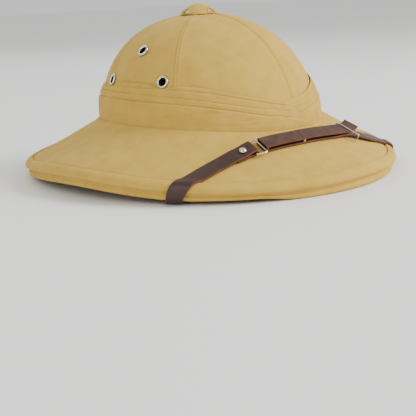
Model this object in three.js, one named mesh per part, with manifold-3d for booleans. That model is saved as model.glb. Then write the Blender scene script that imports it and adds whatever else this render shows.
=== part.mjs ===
// A cloth-covered pith helmet: a domed crown of pressed fibre, a sloping brim, a bound rim,
// a pleated cloth band, a vented cap, nickel eyelets and a leather chin strap worn over the brim.
// Millimetres, +Z up. The hat stands on z = 0, with the middle of its rim over the origin.
// The front of the hat faces -Y and the wearer's right is -X.

import * as THREE from 'three';
import { mergeVertices } from 'three/addons/utils/BufferGeometryUtils.js';
import Module from 'manifold-3d';

// ---------------------------------------------------------------- driving dimensions

const SIDES = 60; // facets round the hat
const GAP = 0.3; // clearance between pieces that touch

const CROWN = {
  halfLength: 102.2, // front to back, outside
  halfWidth: 90, // side to side, outside
  apex: 136.8,
  wall: 3,
  axisY: -8, // the crown sits this far in front of the rim's middle
  lean: 6.5, // its top leans back by this much
  shoulder: 2.1, // exponents of the dome's profile
  fullness: 2.28,
  ventHole: 9, // radius of the hole under the cap
};

// The line where the cloth band's foot meets the brim.
const JOIN = { halfLength: 106.2, halfWidth: 96.6, height: 46.6, frontDip: 2.45, sideLift: 2.98 };

const BRIM = { wall: 3.3, seamHalfLength: 171, seamInset: 23.1, seamHeight: 14.5, ledge: 2.4 };

// The rolled rim, outside first: how far each point stands out from the seam, and how high.
const RIM_PROFILE = [
  { out: 0, up: 14.6 },
  { out: 1.0, up: 15.1 },
  { out: 3.6, up: 14.3 },
  { out: 6.2, up: 12.3 },
  { out: 7.0, up: 9.8 },
  { out: 6.1, up: 7.6 },
  { out: 4.7, up: 5.8 },
  { out: 4.3, up: 3.9 },
  { out: 3.6, up: 1.6 },
  { out: 1.8, up: 0 },
  { out: -1.2, up: 0 },
  { out: -2.2, up: 1.4 },
  { out: -1.4, up: 5.0 },
  { out: -1.6, up: 10.4 },
  { out: 0, up: 10.6 },
];
const BULGE_HEIGHT = 9.8;
const UNDER_RIM = [
  { out: 3.9, up: 1.4 }, // where the strap turns under the rim
  { out: 1.8, up: 0 },
  { out: -1.4, up: 0 },
];

// The pleated band: its height, the dip where its ends cross at the front, and its thickness.
const BAND = {
  height: 32.2,
  dip: 10,
  dipAngle: 8,
  dipReach: 40,
  eyeletReach: 20,
  footFront: 3.4,
  footSide: 6,
};
const BAND_PROFILE = [
  { rise: 0, bulk: 1 },
  { rise: 0.3, bulk: 1 },
  { rise: 0.58, bulk: 0.92 },
  { rise: 0.62, bulk: 0.74 },
  { rise: 0.77, bulk: 0.68 },
  { rise: 0.8, bulk: 0.56 },
  { rise: 0.97, bulk: 0.5 },
  { rise: 1, bulk: 0.36 },
];

const EYELET = { flange: 5.3, bore: 3.3, barrel: 4, lip: 1.1, hole: 4.6, grip: 4 };
const EYELET_SPOTS = [
  { name: 'top', turn: 0, height: 109.3, bandDip: 0 },
  { name: 'front', turn: -19, height: 85.2, bandDip: 1.6 },
  { name: 'back', turn: 20.8, height: 85.5, bandDip: 4 },
];

const CAP = { radius: 17.5, wall: 1.5, height: 9.2, ventWidth: 12, ventHeight: 6 };
const CAP_PROFILE = [
  { out: 1, up: 0 },
  { out: 0.985, up: 0.2 },
  { out: 0.9, up: 0.5 },
  { out: 0.72, up: 0.76 },
  { out: 0.46, up: 0.93 },
  { out: 0.2, up: 0.99 },
  { out: 0, up: 1 },
];

const STRAP = { width: 13.2, thick: 1.6 };
const BEND_STEP = 2.6; // spacing of the strap's sections where it bends, and where it runs plain
const PLAIN_STEP = 13;
const STRAP_BENDS = [
  { from: -3, to: 28 }, // distances past the rim's seam: round the rim, and up inside the crown
  { from: 85, to: 106 },
];
const INSIDE_CLIMBS = [0.165, 0.26]; // how far up the crown's inside the strap's line runs
const WIRE = { loop: 0.7, slide: 0.5 }; // wire radii
const LOOP = { bar: 17, length: 9.2 };
const STUD = { head: 3, dome: 1.9, stem: 0.9, hole: 1.35, clear: 0.7 };
const ANCHOR = { head: 4, thick: 1.2, stem: 1.3, hole: 2.1 };

// Where the chin strap runs. turn is the angle from the front towards the wearer's right,
// past is the distance beyond the rim's seam, measured over the brim, round the rim and back
// underneath, and lift is the space under the leather.
const RIGHT_STRAP = [
  { turn: 32.6, past: -37.9, lift: 4.3 },
  { turn: 33.9, past: -36.7, lift: 4 },
  { turn: 35.2, past: -35.4, lift: 3.1 },
  { turn: 36.8, past: -32.9, lift: 2.6 },
  { turn: 38.5, past: -30.6, lift: 2.45 },
  { turn: 39.8, past: -28.8, lift: 2.35 },
  { turn: 41.6, past: -26.3, lift: 1.3 },
  { turn: 44.4, past: -21.3, lift: 0.9 },
  { turn: 47.2, past: -15.4, lift: 0.8 },
  { turn: 49.6, past: -9.3, lift: 1 },
  { turn: 52, past: -2.6, lift: 1 },
  { turn: 53.6, past: 2.2, lift: 1 },
  { turn: 55.5, past: 9, lift: 0.7 },
  { turn: 56.5, past: 13.5, lift: 0.7 },
  { turn: 57.1, past: 20.2, lift: 0.6 },
  { turn: 57.6, past: 23.6, lift: 0.8 },
  { turn: 60, past: 32, lift: 0.8 },
  { turn: 73, past: 84, lift: 1.2 },
  { turn: 76, past: 96, lift: 1.4 },
  { turn: 77.5, past: 102, lift: 0.8 },
  { turn: 78, past: 108, lift: 0.5 },
  { turn: 78, past: 116, lift: 0.5 },
];
const RIGHT_FOLD = [
  { turn: 39.6, past: -29.1, lift: 0.35 },
  { turn: 36.8, past: -32.9, lift: 0.35 },
  { turn: 35.2, past: -35.4, lift: 0.35 },
  { turn: 33.9, past: -36.7, lift: 0.35 },
  { turn: 32.6, past: -37.9, lift: 0.35 },
];
const LEFT_STRAP = [
  { turn: 28.3, past: -41.4, lift: 0.35 },
  { turn: 26.9, past: -42.4, lift: 0.35 },
  { turn: 25.5, past: -43.3, lift: 0.35 },
  { turn: 21, past: -45.4, lift: 0.4 },
  { turn: 13, past: -47.4, lift: 0.4 },
  { turn: 4, past: -48.3, lift: 0.4 },
  { turn: -5, past: -46.8, lift: 0.4 },
  { turn: -10, past: -45.1, lift: 0.6 },
  { turn: -14, past: -43.4, lift: 1.1 },
  { turn: -18, past: -41.2, lift: 1.8 },
  { turn: -20, past: -40, lift: 1.9 },
  { turn: -22, past: -38.2, lift: 1.9 },
  { turn: -25, past: -33.4, lift: 1.8 },
  { turn: -28, past: -27.4, lift: 1.6 },
  { turn: -31, past: -22.2, lift: 1.3 },
  { turn: -34, past: -18.2, lift: 1 },
  { turn: -37, past: -14.2, lift: 0.9 },
  { turn: -40, past: -7.6, lift: 0.9 },
  { turn: -42.6, past: 0.6, lift: 1 },
  { turn: -45.2, past: 12, lift: 0.7 },
  { turn: -45.9, past: 20.2, lift: 0.6 },
  { turn: -46.4, past: 23.6, lift: 0.8 },
  { turn: -49.8, past: 32, lift: 0.8 },
  { turn: -69.5, past: 84, lift: 1 },
  { turn: -74, past: 96, lift: 1.4 },
  { turn: -76.5, past: 102, lift: 0.8 },
  { turn: -78, past: 108, lift: 0.5 },
  { turn: -78, past: 116, lift: 0.5 },
];
const LEFT_TOP = [
  { turn: -24.3, past: -38.4, lift: 8.2 },
  { turn: -22.4, past: -38.9, lift: 6.4 },
  { turn: -20, past: -40, lift: 5.2 },
  { turn: -18, past: -41.2, lift: 4.7 },
  { turn: -14, past: -43.4, lift: 4.3 },
  { turn: -10, past: -45.1, lift: 4.2 },
  { turn: -5, past: -46.8, lift: 4.2 },
  { turn: 4, past: -48.3, lift: 4.2 },
  { turn: 13, past: -47.4, lift: 4.2 },
  { turn: 21, past: -45.4, lift: 4.2 },
  { turn: 25.5, past: -43.3, lift: 4.2 },
  { turn: 26.9, past: -42.4, lift: 4.3 },
  { turn: 28.3, past: -41.4, lift: 4.3 },
];
const SLIDE_SPOT = { turn: -18.2, past: -37.2, under: 0.4, over: 5.2, skew: 5, length: 23 };
const SLIDE_NEIGHBOURS = LEFT_STRAP.filter(({ turn }) => turn === -14 || turn === -22);
const STUD_SPOT = { turn: 36.3, past: -33.6, lift: 2.8 };
const PIN_SPOT = { turn: 9, past: -42.6, lift: 2.35 };
const ANCHOR_SPOT = { turn: 78, past: 111.5 };

const MATERIALS = {
  cloth: new THREE.MeshStandardMaterial({ color: '#c9b27c', roughness: 0.9, metalness: 0 }),
  leather: new THREE.MeshStandardMaterial({ color: '#4a2c22', roughness: 0.4, metalness: 0 }),
  nickel: new THREE.MeshStandardMaterial({ color: '#d8d8d4', roughness: 0.2, metalness: 1 }),
};

// ---------------------------------------------------------------- small helpers

const wasm = await Module();
wasm.setup();

const { sin, cos, abs, min, max, PI } = Math;
const rad = THREE.MathUtils.degToRad;
const lerp = THREE.MathUtils.lerp;
const vec = (x, y, z) => new THREE.Vector3(x, y, z);
const smooth = (value) => THREE.MathUtils.smoothstep(value, 0, 1);

// A point on an oval seen from above. The angle runs from the front to the wearer's right.
const onOval = (angle, halfLength, halfWidth, centreY, z) =>
  vec(-halfWidth * sin(angle), centreY - halfLength * cos(angle), z);

const roundTheHat = (pointAt) =>
  Array.from({ length: SIDES }, (_, side) => pointAt((side * 2 * PI) / SIDES));

// A closed body through rings that have the same number of points. The rings close on
// themselves like a tyre, or the first and last are capped.
function loft(rings, closed) {
  const count = rings[0].length;
  const positions = rings.flat().flatMap((point) => [point.x, point.y, point.z]);
  const indices = [];
  const strips = closed ? rings.length : rings.length - 1;
  for (let row = 0; row < strips; row += 1) {
    const next = (row + 1) % rings.length;
    for (let step = 0; step < count; step += 1) {
      const beside = (step + 1) % count;
      const [a, b] = [row * count + step, row * count + beside];
      const [c, d] = [next * count + beside, next * count + step];
      indices.push(a, b, c, a, c, d);
    }
  }
  if (!closed) {
    const last = (rings.length - 1) * count;
    for (let step = 1; step < count - 1; step += 1) {
      indices.push(0, step + 1, step, last, last + step, last + step + 1);
    }
  }
  const geometry = new THREE.BufferGeometry();
  geometry.setAttribute('position', new THREE.Float32BufferAttribute(positions, 3));
  geometry.setIndex(indices);
  return faceOut(geometry);
}

// Turns every triangle over when the faces point inwards.
function faceOut(geometry) {
  const place = geometry.getAttribute('position');
  const index = geometry.getIndex();
  const corner = [vec(0, 0, 0), vec(0, 0, 0), vec(0, 0, 0)];
  let volume = 0;
  for (let i = 0; i < index.count; i += 3) {
    corner.forEach((point, k) => point.fromBufferAttribute(place, index.getX(i + k)));
    volume += corner[0].dot(corner[1].clone().cross(corner[2]));
  }
  if (volume < 0) index.array.reverse();
  return geometry;
}

function toSolid(geometry) {
  const bare = geometry.clone();
  bare.deleteAttribute('normal');
  bare.deleteAttribute('uv');
  const merged = mergeVertices(bare, 1e-4);
  return new wasm.Manifold(
    new wasm.Mesh({
      numProp: 3,
      vertProperties: new Float32Array(merged.getAttribute('position').array),
      triVerts: new Uint32Array(merged.getIndex().array),
    }),
  );
}

function fromSolid(solid) {
  const mesh = solid.getMesh();
  const geometry = new THREE.BufferGeometry();
  geometry.setAttribute('position', new THREE.BufferAttribute(new Float32Array(mesh.vertProperties), 3));
  geometry.setIndex(new THREE.BufferAttribute(new Uint32Array(mesh.triVerts), 1));
  return geometry;
}

const cut = (geometry, tools) =>
  fromSolid(tools.reduce((solid, tool) => solid.subtract(toSolid(tool)), toSolid(geometry)));

// Moves a geometry made round +Y so that +Y points along the normal at a place.
function standAt(geometry, place, normal) {
  const turn = new THREE.Quaternion().setFromUnitVectors(vec(0, 1, 0), normal);
  return geometry.clone().applyQuaternion(turn).translate(place.x, place.y, place.z);
}

const lathe = (rows, segments) =>
  new THREE.LatheGeometry(rows.map(([out, up]) => new THREE.Vector2(out, up)), segments);

const rod = (radius, low, high, segments) =>
  new THREE.CylinderGeometry(radius, radius, high - low, segments).translate(0, (low + high) / 2, 0);

// ---------------------------------------------------------------- the hat's own surfaces

const joinHeight = (angle) =>
  JOIN.height - JOIN.frontDip * cos(angle) - JOIN.sideLift * cos(2 * angle);

const joinPoint = (angle) =>
  onOval(angle, JOIN.halfLength, JOIN.halfWidth, CROWN.axisY, joinHeight(angle));

// The rim dips at the front and back and rises at the sides.
const rimWave = (angle) => 3.05 - 3.75 * cos(2 * angle) + 2.26 * cos(4 * angle);

// The rim's foot is flat on the ground at the front and back, clears the strap, then rises.
function rimFoot(angle) {
  const turn = THREE.MathUtils.radToDeg(Math.asin(abs(sin(angle))));
  return 2.7 * smooth((turn - 22) / 14) + 6.3 * smooth((turn - 50) / 40);
}

function rimPoint(angle, out, up) {
  const wave = rimWave(angle);
  const foot = rimFoot(angle);
  const low = foot + (BULGE_HEIGHT + wave - foot) * (up / BULGE_HEIGHT);
  const length = BRIM.seamHalfLength + out;
  return onOval(angle, length, length - BRIM.seamInset, 0, up < BULGE_HEIGHT ? low : up + wave);
}

const brimPoint = (angle, reach) =>
  joinPoint(angle).lerp(rimPoint(angle, 0, BRIM.seamHeight), reach);

// The dome. climb runs from 0 at its foot to 1 at its top; inset is measured inwards.
function domePoint(angle, climb, inset) {
  const rise = sin((climb * PI) / 2) ** (2 / CROWN.shoulder);
  const spread = cos((climb * PI) / 2) ** (2 / CROWN.fullness);
  const foot = joinHeight(angle);
  return onOval(
    angle,
    (CROWN.halfLength - inset) * spread,
    (CROWN.halfWidth - inset) * spread,
    CROWN.axisY + CROWN.lean * rise,
    foot + (CROWN.apex - inset - foot) * rise,
  );
}

// The climb at which the dome reaches a height.
function climbTo(height, angle) {
  const foot = joinHeight(angle);
  const rise = max(0, height - foot) / (CROWN.apex - foot);
  return (2 / PI) * Math.asin(min(1, rise ** (CROWN.shoulder / 2)));
}

function domeNormal(angle, climb) {
  const step = 0.01;
  const round = domePoint(angle + step, climb, 0).sub(domePoint(angle - step, climb, 0));
  const upward = domePoint(angle, climb + step, 0).sub(domePoint(angle, climb - step, 0));
  return upward.cross(round).normalize();
}

// ---------------------------------------------------------------- crown, brim, rim, band

const CROWN_FOOT_CLIMB = 0.018;
const VENT_CLIMB = (2 / PI) * Math.acos((CROWN.ventHole / CROWN.halfLength) ** (CROWN.fullness / 2));

const eyelets = [
  { side: 'right', sign: 1 },
  { side: 'left', sign: -1 },
].flatMap(({ side, sign }) =>
  EYELET_SPOTS.map(({ name, turn, height }) => {
    const angle = rad(sign * (90 + turn));
    const climb = climbTo(height, angle);
    const place = domePoint(angle, climb, 0);
    return { name: `eyelet_${side}_${name}`, place, normal: domeNormal(angle, climb) };
  }),
);

function makeCrown(anchors) {
  const rings = (rows, inset) =>
    Array.from({ length: rows }, (_, row) => {
      const climb = lerp(CROWN_FOOT_CLIMB, VENT_CLIMB, (row / (rows - 1)) ** 0.9);
      return roundTheHat((angle) => domePoint(angle, climb, inset));
    });
  const outside = rings(10, 0);
  const inside = rings(8, CROWN.wall);
  const shell = loft([...outside, ...inside.reverse()], true);
  const drill = (radius) => ({ place, normal }) =>
    standAt(rod(radius, -3 * CROWN.wall, 2 * CROWN.wall, 12), place, normal);
  return cut(shell, [...eyelets.map(drill(EYELET.hole)), ...anchors.map(drill(ANCHOR.hole))]);
}

function makeBrim() {
  const innerRing = (angle, grow) =>
    onOval(
      angle,
      CROWN.halfLength - CROWN.wall + grow,
      CROWN.halfWidth - CROWN.wall + grow,
      CROWN.axisY,
      joinHeight(angle) + BRIM.ledge,
    );
  const reaches = [0, 0.08, 0.4, 0.99];
  const top = [
    roundTheHat((angle) => innerRing(angle, 0)),
    roundTheHat((angle) => innerRing(angle, CROWN.wall + 0.4)),
    ...reaches.map((reach) => roundTheHat((angle) => brimPoint(angle, reach))),
  ];
  const under = top.map((ring) => ring.map((point) => vec(point.x, point.y, point.z - BRIM.wall)));
  return loft([...top, ...under.reverse()], true);
}

const makeRim = () =>
  loft(RIM_PROFILE.map(({ out, up }) => roundTheHat((angle) => rimPoint(angle, out, up))), true);

function makeBand() {
  const dipAt = rad(BAND.dipAngle);
  const notch = (angle, at, depth, reach) => {
    const away = abs(Math.atan2(sin(angle - at), cos(angle - at)));
    return depth * max(0, 1 - away / rad(reach));
  };
  // The band's top is lower where its ends cross, and just under the low eyelets.
  const bandTop = (angle) => {
    const overRight = abs(Math.atan2(sin(angle), cos(angle)));
    const underEyelets = EYELET_SPOTS.map(({ turn, bandDip }) =>
      notch(overRight, rad(90 + turn), bandDip, BAND.eyeletReach),
    );
    return BAND.height - notch(angle, dipAt, BAND.dip, BAND.dipReach) - max(...underEyelets);
  };
  const bandPoint = (angle, rise, bulk) => {
    const height = joinHeight(angle) + 1.5 * GAP + bandTop(angle) * rise;
    const climb = climbTo(height, angle);
    const side = sin(angle) ** 2;
    const stand = 2 * GAP + bulk * lerp(BAND.footFront, BAND.footSide, side);
    const point = domePoint(angle, climb, 0);
    const normal = vec(-sin(angle), -cos(angle), 0);
    point.z = height;
    return point.addScaledVector(normal, stand);
  };
  const bandRing = (rise, bulk) => roundTheHat((angle) => bandPoint(angle, rise, bulk));
  const outside = BAND_PROFILE.map(({ rise, bulk }) => bandRing(rise, bulk));
  const footRise = (BRIM.ledge + 2 * GAP) / (BAND.height - BAND.dip);
  const inside = [1, 0.66, 0.33, footRise].map((rise) => bandRing(rise, 0));
  return loft([...outside, ...inside], true);
}

// ---------------------------------------------------------------- cap and eyelets

const capBase = CROWN.apex - GAP;
const capCentre = vec(0, CROWN.axisY + CROWN.lean, capBase);

function makeCap() {
  const segments = 24;
  const row = (radius, height) => ({ out, up }) => [radius * out, height * up];
  const outer = CAP_PROFILE.map(row(CAP.radius, CAP.height));
  const inner = CAP_PROFILE.map(row(CAP.radius - CAP.wall, CAP.height - CAP.wall)).reverse();
  const dome = lathe([...outer, ...inner, outer[0]], segments);
  const ventShape = new THREE.Shape([
    new THREE.Vector2(-CAP.ventWidth / 2, -1),
    new THREE.Vector2(CAP.ventWidth / 2, -1),
    new THREE.Vector2(CAP.ventWidth / 2, 0.8),
    new THREE.Vector2(0, CAP.ventHeight),
    new THREE.Vector2(-CAP.ventWidth / 2, 0.8),
  ]);
  const vent = new THREE.ExtrudeGeometry(ventShape, { depth: CAP.radius * 3, bevelEnabled: false });
  const throughX = vent.clone().translate(0, 0, -CAP.radius * 1.5);
  const throughY = throughX.clone().rotateY(PI / 2);
  const cap = cut(dome, [throughX, throughY]);
  return cap.rotateX(PI / 2).translate(capCentre.x, capCentre.y, capCentre.z);
}

// The hidden post that carries the cap, with a bar across the underside of the vent hole.
function makeCapPost() {
  const ceiling = CROWN.apex - CROWN.wall - 4 * GAP;
  const post = rod(2, ceiling - 1.5, capBase + CAP.height - CAP.wall - 2 * GAP, 12);
  const bar = new THREE.BoxGeometry(8, 2, 26).translate(0, ceiling - 1.2, 0);
  const joined = fromSolid(toSolid(post).add(toSolid(bar)));
  return joined.rotateX(PI / 2).translate(capCentre.x, capCentre.y, 0);
}

function makeEyelet({ place, normal }) {
  const { flange, bore, barrel, lip, grip } = EYELET;
  const profile = [
    [bore, -grip - 0.7],
    [barrel + 1, -grip - 0.7],
    [barrel + 1, -grip],
    [barrel, -grip],
    [barrel, GAP],
    [flange, GAP],
    [flange - 0.3, lip],
    [(flange + bore) / 2, lip + 0.5],
    [bore + 0.2, lip],
    [bore, 0],
    [bore, -grip - 0.7],
  ];
  return standAt(lathe(profile, 12), place, normal);
}

// ---------------------------------------------------------------- the chin strap

// The hat's outer line at one angle: over the brim, round the rim, and straight back to the
// inside of the crown's foot and up its wall. It starts at the join line.
function coverLine(angle) {
  const rimRows = RIM_PROFILE.slice(1, 5);
  const foot = domePoint(angle, 0, CROWN.wall + 0.4);
  foot.z = joinHeight(angle) - 1.4;
  return [
    joinPoint(angle),
    rimPoint(angle, 0, BRIM.seamHeight),
    ...rimRows.map(({ out, up }) => rimPoint(angle, out, up)),
    ...UNDER_RIM.map(({ out, up }) => rimPoint(angle, out, up)),
    foot,
    ...INSIDE_CLIMBS.map((climb) => domePoint(angle, climb, CROWN.wall)),
  ];
}

// A point of that line, by its distance past the seam.
function coverPoint(angle, past) {
  const line = coverLine(angle);
  let left = past + line[0].distanceTo(line[1]);
  let segment = 0;
  while (segment < line.length - 2 && left > line[segment].distanceTo(line[segment + 1])) {
    left -= line[segment].distanceTo(line[segment + 1]);
    segment += 1;
  }
  const along = line[segment + 1].clone().sub(line[segment]).normalize();
  return line[segment].clone().addScaledVector(along, left);
}

// The surface there, its outward normal and its two directions.
function coverFrame(angle, past) {
  const turn = 0.01;
  const step = 1.6;
  const round = coverPoint(angle + turn, past).sub(coverPoint(angle - turn, past));
  round.divideScalar(2 * turn);
  const outward = coverPoint(angle, past + step).sub(coverPoint(angle, past - step)).normalize();
  const normal = round.clone().cross(outward).normalize();
  return { point: coverPoint(angle, past), normal, round, outward };
}

// One ring of leather across the strap. flip turns the section over, for a folded end.
function strapRing(stop, heading, flip) {
  const angle = rad(stop.turn);
  const centre = coverFrame(angle, stop.past);
  const across = centre.normal.clone().cross(heading).normalize();
  const spots = [-1, -0.5, 0, 0.5, 1].map((side) => {
    const offset = across.clone().multiplyScalar((side * STRAP.width) / 2);
    const skew = centre.round.dot(centre.outward);
    const scale = centre.round.lengthSq() - skew ** 2;
    const turned = (offset.dot(centre.round) - skew * offset.dot(centre.outward)) / scale;
    const moved = offset.addScaledVector(centre.round, -turned).dot(centre.outward);
    const place = coverFrame(angle + turned, stop.past + moved);
    const bottom = place.point.clone().addScaledVector(place.normal, stop.lift);
    return [bottom, bottom.clone().addScaledVector(place.normal, STRAP.thick)];
  });
  const [near, far] = flip ? [1, 0] : [0, 1];
  const facing = flip ? [...spots].reverse() : spots;
  return [...facing.map((pair) => pair[near]), ...[...facing].reverse().map((pair) => pair[far])];
}

// Adds stops between the listed ones, close together where the leather bends.
function fillIn(stops) {
  const filled = stops.slice(1).flatMap((stop, i) => {
    const from = stops[i];
    const start = coverPoint(rad(from.turn), from.past);
    const length = start.distanceTo(coverPoint(rad(stop.turn), stop.past));
    const middle = (from.past + stop.past) / 2;
    const bends = STRAP_BENDS.some(({ from: low, to: high }) => middle > low && middle < high);
    const count = Math.ceil(length / (bends ? BEND_STEP : PLAIN_STEP));
    return Array.from({ length: count }, (_, k) => ({
      turn: lerp(from.turn, stop.turn, k / count),
      past: lerp(from.past, stop.past, k / count),
      lift: lerp(from.lift, stop.lift, k / count),
    }));
  });
  return [...filled, stops.at(-1)];
}

// Rings for a run of stops, each with the heading from its neighbours.
function strapRings(listed, flip) {
  const stops = fillIn(listed);
  const centres = stops.map(({ turn, past }) => coverPoint(rad(turn), past));
  return stops.map((stop, i) => {
    const before = centres[max(0, i - 1)];
    const after = centres[min(stops.length - 1, i + 1)];
    const heading = after.clone().sub(before).normalize();
    return strapRing(stop, flip ? heading.negate() : heading, flip);
  });
}

// The leather's turn round a bar, from the last ring of one run to the first of the next.
function foldRings(from, to, steps) {
  const centre = (ring) =>
    ring.reduce((sum, point) => sum.add(point), vec(0, 0, 0)).divideScalar(ring.length);
  const start = centre(from);
  const end = centre(to);
  const middle = start.clone().add(end).multiplyScalar(0.5);
  const axis = from[4].clone().sub(from[0]).normalize();
  const radius = start.distanceTo(end) / 2;
  const spoke = start.clone().sub(middle).normalize();
  return Array.from({ length: steps - 1 }, (_, i) => {
    const angle = (PI * (i + 1)) / steps;
    const turned = spoke.clone().applyAxisAngle(axis, angle);
    const place = middle.clone().addScaledVector(turned, radius);
    return from.map((point) => point.clone().sub(start).applyAxisAngle(axis, angle).add(place));
  });
}

function makeStrap(firstRun, secondRun, holes) {
  const first = strapRings(firstRun, true);
  const second = strapRings(secondRun, false);
  const rings = [...first, ...foldRings(first.at(-1), second[0], 5), ...second];
  return cut(loft(rings, false), holes);
}

// A closed wire in a plane: a rectangle with rounded corners.
function wireRing(length, width, radius) {
  const corner = radius * 1.6;
  const sides = 8;
  const path = [];
  const corners = [
    [1, 1],
    [-1, 1],
    [-1, -1],
    [1, -1],
  ];
  corners.forEach(([sx, sy], quarter) => {
    for (let i = 0; i <= 3; i += 1) {
      const angle = (PI / 2) * (quarter + i / 3);
      const direction = vec(cos(angle), sin(angle), 0);
      const centre = vec(sx * (length / 2 - corner), sy * (width / 2 - corner), 0);
      path.push({ at: centre.addScaledVector(direction, corner), direction });
    }
  });
  const rings = path.map(({ at, direction }) =>
    Array.from({ length: sides }, (_, i) => {
      const angle = (2 * PI * i) / sides;
      const point = at.clone().addScaledVector(direction, radius * cos(angle));
      return point.add(vec(0, 0, radius * sin(angle)));
    }),
  );
  return loft(rings, true);
}

function placeByAxes(geometry, centre, xAxis, yAxis) {
  const zAxis = xAxis.clone().cross(yAxis).normalize();
  const squareY = zAxis.clone().cross(xAxis);
  const frame = new THREE.Matrix4().makeBasis(xAxis, squareY, zAxis).setPosition(centre);
  return geometry.applyMatrix4(frame);
}

const raised = ({ turn, past }, lift) => {
  const frame = coverFrame(rad(turn), past);
  return frame.point.addScaledVector(frame.normal, lift);
};

// The flat loop that joins the two straps, lying between their folds.
function makeFrontLoop() {
  const barLift = (RIGHT_STRAP[0].lift + STRAP.thick + RIGHT_FOLD.at(-1).lift) / 2;
  const right = raised(RIGHT_STRAP[0], barLift);
  const left = raised(LEFT_STRAP[0], barLift);
  const along = left.clone().sub(right).normalize();
  const centre = left.add(right).multiplyScalar(0.5);
  const { normal } = coverFrame(rad(RIGHT_STRAP[0].turn), RIGHT_STRAP[0].past);
  const across = normal.cross(along).normalize();
  return placeByAxes(wireRing(LOOP.length, LOOP.bar, WIRE.loop), centre, along, across);
}

// The wire slide that holds both layers of the left strap together.
function makeSlide() {
  const low = SLIDE_SPOT.under + WIRE.slide;
  const high = SLIDE_SPOT.over + STRAP.thick + WIRE.slide;
  const frame = coverFrame(rad(SLIDE_SPOT.turn), SLIDE_SPOT.past);
  const before = coverPoint(rad(SLIDE_NEIGHBOURS[0].turn), SLIDE_NEIGHBOURS[0].past);
  const after = coverPoint(rad(SLIDE_NEIGHBOURS[1].turn), SLIDE_NEIGHBOURS[1].past);
  const square = frame.normal.clone().cross(after.sub(before)).normalize();
  const across = square.applyAxisAngle(frame.normal, rad(SLIDE_SPOT.skew));
  const centre = raised(SLIDE_SPOT, (low + high) / 2);
  const ring = wireRing(SLIDE_SPOT.length, high - low, WIRE.slide);
  return placeByAxes(ring, centre, across, frame.normal);
}

function makeStud() {
  const { head, dome, stem } = STUD;
  const seat = STUD_SPOT.lift + STRAP.thick + STUD.clear;
  const profile = [
    [0, GAP],
    [stem, GAP],
    [stem, seat],
    [head, seat],
    [head * 0.93, seat + dome * 0.45],
    [head * 0.6, seat + dome * 0.88],
    [0, seat + dome],
  ];
  const frame = coverFrame(rad(STUD_SPOT.turn), STUD_SPOT.past);
  return standAt(lathe(profile, 16), frame.point, frame.normal);
}

function makeLayerPin() {
  const frame = coverFrame(rad(PIN_SPOT.turn), PIN_SPOT.past);
  return standAt(rod(1.1, PIN_SPOT.lift, PIN_SPOT.lift + 1.4, 12), frame.point, frame.normal);
}

// The hidden rivets that hold the strap's ends to the inside of the crown.
const anchorFrames = [1, -1].map((sign) => {
  const frame = coverFrame(rad(sign * ANCHOR_SPOT.turn), ANCHOR_SPOT.past);
  return { place: frame.point, normal: frame.normal };
});

function makeAnchor({ place, normal }) {
  const { head, thick, stem } = ANCHOR;
  const seat = 0.5 + STRAP.thick + GAP;
  const profile = [
    [0, -CROWN.wall + 0.6],
    [stem, -CROWN.wall + 0.6],
    [stem, seat],
    [head, seat],
    [head * 0.8, seat + thick],
    [0, seat + thick],
  ];
  return standAt(lathe(profile, 12), place, normal);
}

// ---------------------------------------------------------------- the assembly

const group = new THREE.Group();

function addPiece(name, geometry, material) {
  const mesh = new THREE.Mesh(geometry, material);
  mesh.name = name;
  group.add(mesh);
}

const anchorHole = ({ place, normal }) => standAt(rod(ANCHOR.hole, -2, 6, 12), place, normal);
const studFrame = coverFrame(rad(STUD_SPOT.turn), STUD_SPOT.past);
const studHole = standAt(rod(STUD.hole, 0, 6, 12), studFrame.point, studFrame.normal);

addPiece('crown', makeCrown(anchorFrames), MATERIALS.cloth);
addPiece('brim', makeBrim(), MATERIALS.cloth);
addPiece('rim_binding', makeRim(), MATERIALS.cloth);
addPiece('puggaree', makeBand(), MATERIALS.cloth);
addPiece('vent_cap', makeCap(), MATERIALS.cloth);
addPiece('cap_post', makeCapPost(), MATERIALS.nickel);
eyelets.forEach((eyelet) => addPiece(eyelet.name, makeEyelet(eyelet), MATERIALS.nickel));
const strapRight = makeStrap(RIGHT_FOLD, RIGHT_STRAP, [studHole, anchorHole(anchorFrames[0])]);
addPiece('strap_right', strapRight, MATERIALS.leather);
addPiece('strap_left', makeStrap(LEFT_TOP, LEFT_STRAP, [anchorHole(anchorFrames[1])]), MATERIALS.leather);
addPiece('front_loop', makeFrontLoop(), MATERIALS.nickel);
addPiece('slide_loop', makeSlide(), MATERIALS.nickel);
addPiece('strap_stud', makeStud(), MATERIALS.nickel);
addPiece('layer_pin', makeLayerPin(), MATERIALS.nickel);
addPiece('strap_anchor_right', makeAnchor(anchorFrames[0]), MATERIALS.nickel);
addPiece('strap_anchor_left', makeAnchor(anchorFrames[1]), MATERIALS.nickel);

export default group;
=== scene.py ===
# %% [markdown]
# # A cloth-covered pith helmet
# A pith helmet is a stiff shell of pressed fibre with khaki cotton glued over it. Six cloth
# gores cover the crown, a bound roll finishes the rim, a pleated scarf called a puggaree hides
# the foot of the crown, and a vented cap sits on top. A leather chin strap is worn up over the
# front of the brim. The workshop model fixes where every piece is; this lesson gives each one
# its fine surface and its finish. Distances are in millimetres until a mesh is made.

# %% The frame that everything is built in
import math

import bpy
import numpy as np
from mathutils import Matrix, Vector


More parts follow.
